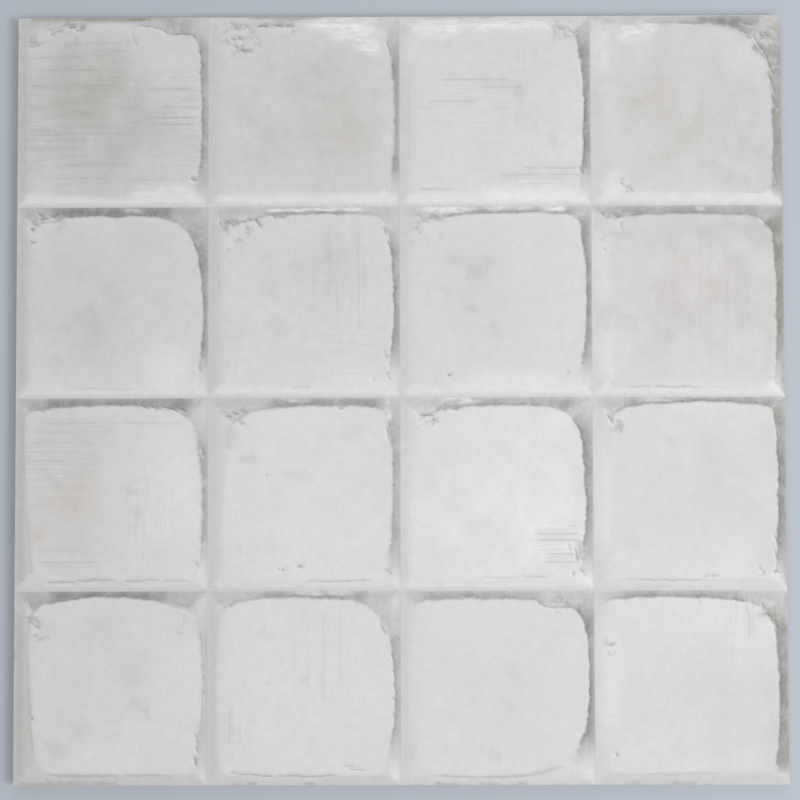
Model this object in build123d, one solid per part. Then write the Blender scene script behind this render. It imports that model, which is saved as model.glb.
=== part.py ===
from build123d import *
import os
from collections import namedtuple

# Ceramic wall tile pressed in one piece. Its face is moulded as a grid of hand-cut squares:
# every square has a mitred bevel rising out of the false joint and, on the bevel, a raised pad
# with its own uneven outline. Millimetres; X to the right and Y up as the face is seen on a
# wall, Z out of the wall; the back ribs stand on Z = 0.

# Whole tile
TILE_WIDTH = 442.0
TILE_HEIGHT = 442.0
TILE_THICKNESS = 10.0
COLUMNS = 4
ROWS = 4

# False joint between the squares; half of it runs round the outside of the tile
JOINT_DEPTH = 2.0
JOINT_BED_WIDTH = 1.4

# Bevel that rises from the joint bed, the same round every square
BEVEL_RUN = 5.2
BEVEL_RISE = 1.35

# Rim of a raised pad: a drafted wall, then a worn arris
RIM_DRAFT = 0.8
ARRIS_RUN = 0.6
ARRIS_DROP = 0.3

# Back: shallow keys for the adhesive between ribs, and an eased edge
KEY_COLUMNS = 10
KEY_ROWS = 10
KEY_DEPTH = 0.8
KEY_DRAFT = 0.8
RIB_WIDTH = 5.0
BACK_BORDER = 9.0
BACK_CHAMFER = 1.0

# Outline of each pad, as distances in from the borders of its square.
# left and right: at the lower end, the middle, the upper end of that side
# lower and upper: at the left end, the middle, the right end of that side
# corners: how far the rounding reaches, lower left, lower right, upper right, upper left
Pad = namedtuple("Pad", "left right lower upper corners")

PADS = [
    # top row, from the left
    [
        Pad((5.2, 4.8, 5.4), (5.8, 2.9, 4.6), (6.2, 5.2, 6.6), (5.4, 2.9, 6.4), (8, 8, 14, 7)),
        Pad((4.8, 4.3, 5.0), (4.8, 2.1, 5.8), (6.4, 6.0, 7.2), (5.4, 4.0, 4.6), (6, 8, 9, 13)),
        Pad((5.0, 4.4, 5.2), (6.0, 3.3, 6.2), (6.6, 7.0, 7.4), (5.2, 4.4, 5.4), (6, 7, 13, 7)),
        Pad((7.4, 5.0, 5.6), (5.8, 5.0, 6.0), (6.4, 5.8, 6.4), (5.8, 4.4, 5.6), (20, 6, 32, 23)),
    ],
    # second row
    [
        Pad((6.6, 5.8, 6.8), (5.2, 2.4, 4.6), (6.0, 5.3, 6.0), (6.6, 5.5, 5.8), (8, 7, 28, 13)),
        Pad((6.4, 5.8, 6.6), (6.4, 3.0, 6.2), (7.0, 6.4, 7.6), (7.6, 4.7, 5.2), (6, 8, 11, 12)),
        Pad((5.0, 4.5, 5.2), (6.6, 2.6, 5.6), (6.8, 6.2, 6.8), (6.8, 4.4, 5.0), (6, 8, 9, 12)),
        Pad((9.2, 7.2, 6.2), (5.4, 3.7, 5.2), (5.8, 5.3, 5.8), (5.8, 5.0, 5.8), (6, 8, 15, 7)),
    ],
    # third row
    [
        Pad((9.6, 6.4, 5.2), (4.8, 2.6, 5.4), (5.8, 5.2, 5.8), (6.6, 4.0, 6.4), (10, 6, 17, 8)),
        Pad((6.0, 8.8, 13.0), (6.8, 3.8, 6.0), (5.8, 5.2, 5.8), (7.4, 4.8, 5.4), (6, 7, 9, 12)),
        Pad((6.0, 5.6, 8.6), (6.4, 4.0, 5.8), (6.4, 5.8, 6.6), (7.4, 4.7, 5.4), (7, 8, 22, 11)),
        Pad((5.8, 4.8, 5.6), (6.6, 3.8, 5.6), (6.4, 5.8, 6.4), (5.4, 3.0, 4.4), (12, 7, 8, 15)),
    ],
    # bottom row
    [
        Pad((12.4, 9.2, 9.0), (6.6, 2.3, 5.4), (6.6, 5.8, 6.4), (6.4, 3.2, 8.6), (12, 7, 8, 11)),
        Pad((5.6, 4.9, 5.8), (7.0, 3.0, 5.6), (6.0, 5.3, 6.2), (5.8, 3.5, 5.4), (9, 9, 24, 15)),
        Pad((6.6, 3.7, 6.2), (4.6, 2.9, 4.8), (5.6, 4.9, 5.8), (5.6, 4.8, 7.4), (14, 31, 13, 8)),
        Pad((4.4, 3.9, 4.6), (7.0, 5.1, 7.2), (6.8, 6.4, 7.2), (4.8, 3.8, 6.4), (6, 7, 17, 7)),
    ],
]

PITCH_X = TILE_WIDTH / COLUMNS
PITCH_Y = TILE_HEIGHT / ROWS
JOINT_LEVEL = TILE_THICKNESS - JOINT_DEPTH
PAD_SEAT = JOINT_LEVEL - 0.5
ARRIS_LEVEL = TILE_THICKNESS - ARRIS_DROP


def square_origin(row, column):
    """Lower left corner of a square, rows counted from the top."""
    x = column * PITCH_X - TILE_WIDTH / 2
    y = TILE_HEIGHT / 2 - (row + 1) * PITCH_Y
    return x, y


def bevelled_square(row, column):
    """Low frustum with mitred bevels, standing on the joint bed."""
    x, y = square_origin(row, column)
    centre = (x + PITCH_X / 2, y + PITCH_Y / 2)
    foot_x = PITCH_X - JOINT_BED_WIDTH
    foot_y = PITCH_Y - JOINT_BED_WIDTH
    shoulder_x = foot_x - 2 * BEVEL_RUN
    shoulder_y = foot_y - 2 * BEVEL_RUN
    foot = Pos(*centre, JOINT_LEVEL) * Rectangle(foot_x, foot_y)
    shoulder = Pos(*centre, JOINT_LEVEL + BEVEL_RISE) * Rectangle(shoulder_x, shoulder_y)
    return loft([foot, shoulder], ruled=True)


def pad_section(pad, row, column, spread, level):
    """Outline of a pad moved outward by spread, as a flat face at the given level."""
    x0, y0 = square_origin(row, column)
    x1 = x0 + PITCH_X
    y1 = y0 + PITCH_Y
    xm = (x0 + x1) / 2
    ym = (y0 + y1) / 2
    left_low, left_mid, left_up = pad.left
    right_low, right_mid, right_up = pad.right
    low_left, low_mid, low_right = pad.lower
    up_left, up_mid, up_right = pad.upper
    c_ll, c_lr, c_ur, c_ul = pad.corners

    lower = ThreePointArc(
        (x0 + left_low + c_ll, y0 + low_left - spread),
        (xm, y0 + low_mid - spread),
        (x1 - right_low - c_lr, y0 + low_right - spread),
    )
    right = ThreePointArc(
        (x1 - right_low + spread, y0 + low_right + c_lr),
        (x1 - right_mid + spread, ym),
        (x1 - right_up + spread, y1 - up_right - c_ur),
    )
    upper = ThreePointArc(
        (x1 - right_up - c_ur, y1 - up_right + spread),
        (xm, y1 - up_mid + spread),
        (x0 + left_up + c_ul, y1 - up_left + spread),
    )
    left = ThreePointArc(
        (x0 + left_up - spread, y1 - up_left - c_ul),
        (x0 + left_mid - spread, ym),
        (x0 + left_low - spread, y0 + low_left + c_ll),
    )
    sides = [lower, right, upper, left]
    edges = []
    for number, side in enumerate(sides):
        following = sides[(number + 1) % len(sides)]
        corner = Spline(side @ 1, following @ 0, tangents=[side % 1, following % 0])
        edges.append(side)
        edges.append(corner)
    return Pos(0, 0, level) * make_face(edges)


def raised_pad(row, column):
    """Pad with a drafted rim wall and a worn arris, seated below the bevel."""
    pad = PADS[row][column]
    seat = pad_section(pad, row, column, RIM_DRAFT, PAD_SEAT)
    arris = pad_section(pad, row, column, 0.0, ARRIS_LEVEL)
    face = pad_section(pad, row, column, -ARRIS_RUN, TILE_THICKNESS)
    return loft([seat, arris, face], ruled=True)


def slab():
    """Body of the tile up to the joint beds, with its back edge eased."""
    box = Pos(0, 0, JOINT_LEVEL / 2) * Box(TILE_WIDTH, TILE_HEIGHT, JOINT_LEVEL)
    back_edges = box.faces().sort_by(Axis.Z)[0].edges()
    return chamfer(back_edges, BACK_CHAMFER)


def back_keys():
    """Shallow drafted pockets pressed into the back between the ribs."""
    span_x = TILE_WIDTH - 2 * BACK_BORDER
    span_y = TILE_HEIGHT - 2 * BACK_BORDER
    step_x = (span_x + RIB_WIDTH) / KEY_COLUMNS
    step_y = (span_y + RIB_WIDTH) / KEY_ROWS
    mouth = Rectangle(step_x - RIB_WIDTH, step_y - RIB_WIDTH)
    floor_x = step_x - RIB_WIDTH - 2 * KEY_DRAFT
    floor_y = step_y - RIB_WIDTH - 2 * KEY_DRAFT
    floor = Pos(0, 0, KEY_DEPTH) * Rectangle(floor_x, floor_y)
    key = loft([mouth, floor], ruled=True)
    return [place * key for place in GridLocations(step_x, step_y, KEY_COLUMNS, KEY_ROWS)]


def wall_tile():
    squares = [(row, column) for row in range(ROWS) for column in range(COLUMNS)]
    body = slab()
    body = body.fuse(*[bevelled_square(row, column) for row, column in squares])
    body = body.fuse(*[raised_pad(row, column) for row, column in squares])
    body = body.cut(*back_keys())
    return body.solids()[0] if len(body.solids()) == 1 else body


os.makedirs("parts", exist_ok=True)
tile = wall_tile()
print("solids", len(tile.solids()), "valid", tile.is_valid, "volume cm3", round(tile.volume / 1000, 1))
export_step(tile, "parts/wall_tile.step")
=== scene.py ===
import math

import bpy
import numpy as np
from mathutils import Matrix, Vector
from mathutils.geometry import delaunay_2d_cdt


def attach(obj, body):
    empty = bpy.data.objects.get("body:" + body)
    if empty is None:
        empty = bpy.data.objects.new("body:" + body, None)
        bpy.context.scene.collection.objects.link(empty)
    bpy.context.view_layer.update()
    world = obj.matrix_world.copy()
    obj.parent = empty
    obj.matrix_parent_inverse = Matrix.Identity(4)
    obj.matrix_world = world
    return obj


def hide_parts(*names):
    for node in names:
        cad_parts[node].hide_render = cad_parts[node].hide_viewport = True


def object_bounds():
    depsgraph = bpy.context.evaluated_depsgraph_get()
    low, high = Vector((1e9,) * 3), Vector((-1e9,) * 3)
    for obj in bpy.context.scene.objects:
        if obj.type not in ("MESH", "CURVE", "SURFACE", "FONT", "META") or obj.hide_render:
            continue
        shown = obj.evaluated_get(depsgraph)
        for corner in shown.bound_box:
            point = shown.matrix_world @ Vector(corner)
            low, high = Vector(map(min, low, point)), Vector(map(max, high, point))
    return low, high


# Looks of a pressed ceramic wall tile whose face is moulded as a grid of hand-cut squares.
# Lengths in this file are millimetres until a mesh, light or camera is made.
# A square is (row, column), rows counted from the top. A place in it is (x, y): x from its left
# border and y down from its upper border, as the tile is seen from the front.

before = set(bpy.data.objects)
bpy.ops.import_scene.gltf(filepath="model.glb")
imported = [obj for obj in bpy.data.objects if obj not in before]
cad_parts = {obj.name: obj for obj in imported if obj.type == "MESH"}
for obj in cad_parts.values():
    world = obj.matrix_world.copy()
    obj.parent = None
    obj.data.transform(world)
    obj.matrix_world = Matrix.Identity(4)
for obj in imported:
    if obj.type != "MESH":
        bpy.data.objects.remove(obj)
cad_low, cad_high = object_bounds()

MM = 0.001
GRID = 4
TILE = (cad_high.x - cad_low.x) / MM
HALF = TILE / 2
PITCH = TILE / GRID
FACE = cad_high.z / MM

# Section of the part: joint bed, bevel, shoulder and the arris of a pad
JOINT_LEVEL = FACE - 2.0
BED_HALF = 0.7
BEVEL_RUN = 5.2
BEVEL_RISE = 1.35
SHOULDER_INSET = BED_HALF + BEVEL_RUN
SHOULDER_LEVEL = JOINT_LEVEL + BEVEL_RISE
ARRIS_LEVEL = FACE - 0.3

# Back of the part
BACK_CHAMFER = 1.0
BACK_BORDER = 9.0
KEY_COUNT = 10
KEY_DEPTH = 0.8
KEY_DRAFT = 0.8
RIB_WIDTH = 5.0

# How far from the arris level its points may lie, how softly the bevels part along the mitres,
# and the angle in degrees from which an edge of the mesh stays sharp
LEVEL_SLACK = 0.02
MITRE_BLUR = 0.25
SHARP_ANGLE = 38

SEED = 20


def srgb(red, green, blue):
    """Linear colour from the 0 to 255 values that a screen shows."""
    scaled = np.array([red, green, blue], float) / 255
    return np.where(scaled <= 0.04045, scaled / 12.92, ((scaled + 0.055) / 1.055) ** 2.4)


# Glaze colours
GLAZE = srgb(216, 216, 217)
# Painted light: paler tone of the left and lower bevels, the sides the light falls on
LIT_BEVEL_TONE = srgb(220, 221, 223)
# Painted shade: dull tones of the bevels above and to the right, olive at the tile's right edge
SHADE_DULL = srgb(168, 171, 168)
SHADE_RIGHT = srgb(150, 153, 149)
SHADE_OLIVE = srgb(148, 148, 141)
JOINT_BED = srgb(212, 211, 208)
# Painted shadow that the rim casts onto the bevel
RIM_SHADOW_DARK = srgb(96, 103, 101)
WASH = srgb(190, 189, 185)
OLIVE = srgb(176, 172, 163)
BEIGE = srgb(199, 194, 188)
PINKISH = srgb(205, 198, 194)
SMOKE = srgb(184, 184, 183)
RUST = srgb(190, 172, 152)
# Painted highlights: sheen, flakes, glints of nicks and the pale clouds; the glint colour for glossy
# strokes
HIGHLIGHT_TINT = srgb(230, 231, 233)
GLINT_COLOUR = srgb(247, 248, 250)
LINE_DARK = srgb(146, 148, 145)
NICK_DARK = srgb(104, 107, 104)
PIT_DARK = srgb(120, 120, 114)
BISCUIT = srgb(206, 190, 172)
JOINT_LINE = srgb(198, 197, 193)
SCAR = srgb(136, 124, 112)


class Noise:
    """Seeded value noise in the plane, from -1 to 1."""

    SIZE = 256

    def __init__(self, seed):
        self.table = np.random.default_rng(seed).uniform(-1, 1, (self.SIZE, self.SIZE))

    def plain(self, x, y):
        x0 = np.floor(x).astype(int)
        y0 = np.floor(y).astype(int)
        fx = x - x0
        fy = y - y0
        fx = fx * fx * (3 - 2 * fx)
        fy = fy * fy * (3 - 2 * fy)
        x0 %= self.SIZE
        y0 %= self.SIZE
        x1 = (x0 + 1) % self.SIZE
        y1 = (y0 + 1) % self.SIZE
        lower = self.table[x0, y0] * (1 - fx) + self.table[x1, y0] * fx
        upper = self.table[x0, y1] * (1 - fx) + self.table[x1, y1] * fx
        return lower * (1 - fy) + upper * fy

    def at(self, points, size, octaves=3, stretch=(1, 1)):
        """Fractal noise whose largest lumps are about size across."""
        total = np.zeros(len(points))
        weight = 1.0
        reach = 0.0
        for octave in range(octaves):
            step = size / 2**octave
            x = points[:, 0] / (step * stretch[0]) + 37.7 * octave
            y = points[:, 1] / (step * stretch[1]) + 11.3 * octave
            total += weight * self.plain(x, y)
            reach += weight
            weight *= 0.55
        return total / reach


noise_a, noise_b, noise_c, noise_d = [Noise(SEED + k) for k in range(4)]


def smooth(low, high, value):
    """0 below low, 1 above high, an S-curve between; low may be the larger."""
    t = np.clip((value - low) / (high - low), 0, 1)
    return t * t * (3 - 2 * t)


def mix(colours, other, weight):
    return colours + (other - colours) * weight[:, None]


def place(row, column, x, y):
    """Point on the tile from a place inside a square."""
    return np.array([column * PITCH - HALF + x, HALF - row * PITCH - y])


# How torn the four sides of each pad are: left, lower, right, upper.
# 0 rolls softly down to the bevel, 1 is a broken step.
TEAR = [
    [(0.05, 0.05, 1.0, 0.2), (0.0, 0.0, 0.75, 0.1), (0.0, 0.0, 1.0, 0.1), (0.05, 0.1, 0.9, 0.5)],
    [(0.05, 0.1, 1.0, 1.0), (0.0, 0.1, 1.0, 0.9), (0.0, 0.1, 0.9, 1.0), (0.05, 0.2, 0.9, 0.9)],
    [(0.05, 0.25, 0.8, 0.9), (0.1, 0.15, 0.8, 0.9), (0.0, 0.1, 1.0, 1.0), (0.0, 0.2, 1.0, 1.0)],
    [(0.1, 0.2, 0.75, 1.0), (0.15, 0.2, 0.9, 0.9), (0.05, 0.2, 1.0, 0.9), (0.0, 0.15, 0.9, 1.0)],
]

# Painted shade along the upper and the right edge of each pad: how much the bevel is dulled, then
# the stretch where a painted shadow lies under the broken rim (start and end along the edge) and how
# dark it is there
EDGE_TONES = [
    [((0.5, 84, 104, 0.5), (0.8, 13, 97, 0.6)), ((0.1, 20, 50, 0.2), (0.95, 20, 93, 0.5)),
     ((0.0, 84, 104, 0.3), (1.0, 14, 90, 0.7)), ((0.5, 62, 92, 0.9), (0.85, 10, 104, 0.4))],
    [((0.75, 20, 88, 1.0), (0.95, 14, 89, 0.8)), ((0.5, 36, 80, 0.6), (0.85, 20, 87, 0.65)),
     ((0.3, 32, 102, 0.75), (1.0, 9, 88, 0.7)), ((0.6, 14, 96, 0.55), (1.0, 5, 87, 0.6))],
    [((0.75, 18, 98, 0.74), (0.75, 22, 87, 0.55)), ((0.5, 36, 100, 0.75), (0.75, 3, 95, 0.6)),
     ((0.35, 22, 100, 0.65), (0.95, 15, 92, 0.7)), ((0.45, 20, 105, 0.65), (1.0, 6, 89, 0.65))],
    [((0.75, 22, 86, 0.92), (0.5, 16, 97, 0.5)), ((0.55, 32, 90, 0.65), (0.75, 20, 90, 0.6)),
     ((0.5, 14, 80, 0.5), (1.0, 7, 89, 0.8)), ((0.5, 14, 84, 0.6), (1.0, 15, 104, 0.6))],
]

# The tables below list features by square; places are those inside the square.

# Pieces broken out of a pad's rim: place, half length along the rim, how far in
CHIPS = {
    (0, 0): [(27, 5, 10, 3), (95, 7, 9, 3.5)],
    (0, 1): [(17, 8, 8, 4), (38, 4, 10, 1.4)],
    (0, 2): [(95, 7, 6, 2.6)],
    (0, 3): [
        (20, 101, 5, 2), (96, 15, 10, 2), (88, 8, 1.8, 1.2), (94, 12, 1.8, 1.6), (98, 17.5, 1.8, 1.8),
        (100.5, 23, 2, 1.8), (102.5, 29, 1.8, 1.6), (104, 36, 2.2, 1.4), (104.5, 43, 2, 1.2),
        (105, 58, 4, 1),
    ],
    (1, 0): [(12, 9, 6, 2.4)],
    (1, 1): [(19, 8, 9, 3.2)],
    (1, 2): [(19, 8, 8, 2.6)],
    (1, 3): [(15, 7, 7, 2.6), (100, 12, 4, 1.6), (107, 50, 40, 0.7)],
    (2, 1): [(19, 10, 8, 2.4), (79, 5, 3, 1.2)],
    (2, 2): [(15, 10, 7, 3.4), (100, 15, 4, 0.8)],
    (2, 3): [(13, 11, 6, 2.6), (107, 50, 40, 1)],
    (3, 0): [(11, 12, 6, 2.4), (104, 84, 8, 2), (97, 9, 8, 2)],
    (3, 2): [(91, 8, 9, 3.6)],
    (3, 3): [(98, 13, 5, 2.4)],
}

# Drag lines scored across in the glaze: y, start and end in x, depth of tone
SCORES_ACROSS = {
    (0, 0): [
        (15.5, 30, 70, 0.5), (20, 40, 70, 0.5), (23.5, 6, 40, 0.7), (31, 5, 48, 0.6),
        (35.5, 5, 40, 0.6), (40, 5, 60, 0.8), (42, 75, 106, 0.8), (48.5, 93, 106, 0.9),
        (52.5, 5, 30, 0.7), (53, 80, 106, 0.8), (59, 80, 106, 1), (63, 73, 105, 0.9),
        (66.5, 5, 26, 0.7), (69, 5, 30, 0.6), (77, 6, 35, 0.6), (86, 25, 60, 0.6), (94, 20, 55, 0.6),
        (95, 62, 105, 0.6), (98, 20, 36, 0.5),
    ],
    (0, 2): [
        (37.5, 22, 66, 0.75), (42, 45, 75, 0.6), (50, 14, 48, 0.65), (54, 6, 25, 0.4),
        (89, 70, 106, 0.75), (93, 55, 108, 0.75), (98, 72, 92, 0.6), (101, 8, 33, 0.8),
    ],
    (2, 0): [
        (14.5, 12, 98, 0.5), (19.5, 10, 60, 0.5), (26, 6, 50, 0.6), (31, 6, 40, 0.5), (36, 6, 34, 0.6),
        (41, 6, 24, 0.5), (62, 6, 22, 0.5), (87.5, 10, 42, 0.6), (94, 11, 52, 0.7),
    ],
    (2, 2): [
        (74, 93, 104, 0.7), (78.5, 75, 104, 0.9), (82, 75, 104, 1), (90, 82, 103, 0.9),
        (94.5, 80, 103, 0.9), (53, 8, 18, 0.3),
    ],
}

# Drag lines scored downwards: x, start and end in y, depth of tone
SCORES_DOWN = {
    (1, 1): [(70, 6, 35, 0.3), (87, 7, 75, 0.3)],
    (1, 3): [(62, 10, 70, 0.15), (68, 8, 80, 0.18), (77, 12, 95, 0.18)],
    (3, 1): [
        (66, 8, 65, 0.35), (76, 10, 55, 0.3), (13, 63, 91, 0.65), (19, 75, 90, 0.6), (59, 82, 92, 0.5),
    ],
    (3, 3): [(88, 9, 30, 1), (59, 6, 13, 0.3)],
}

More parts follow.
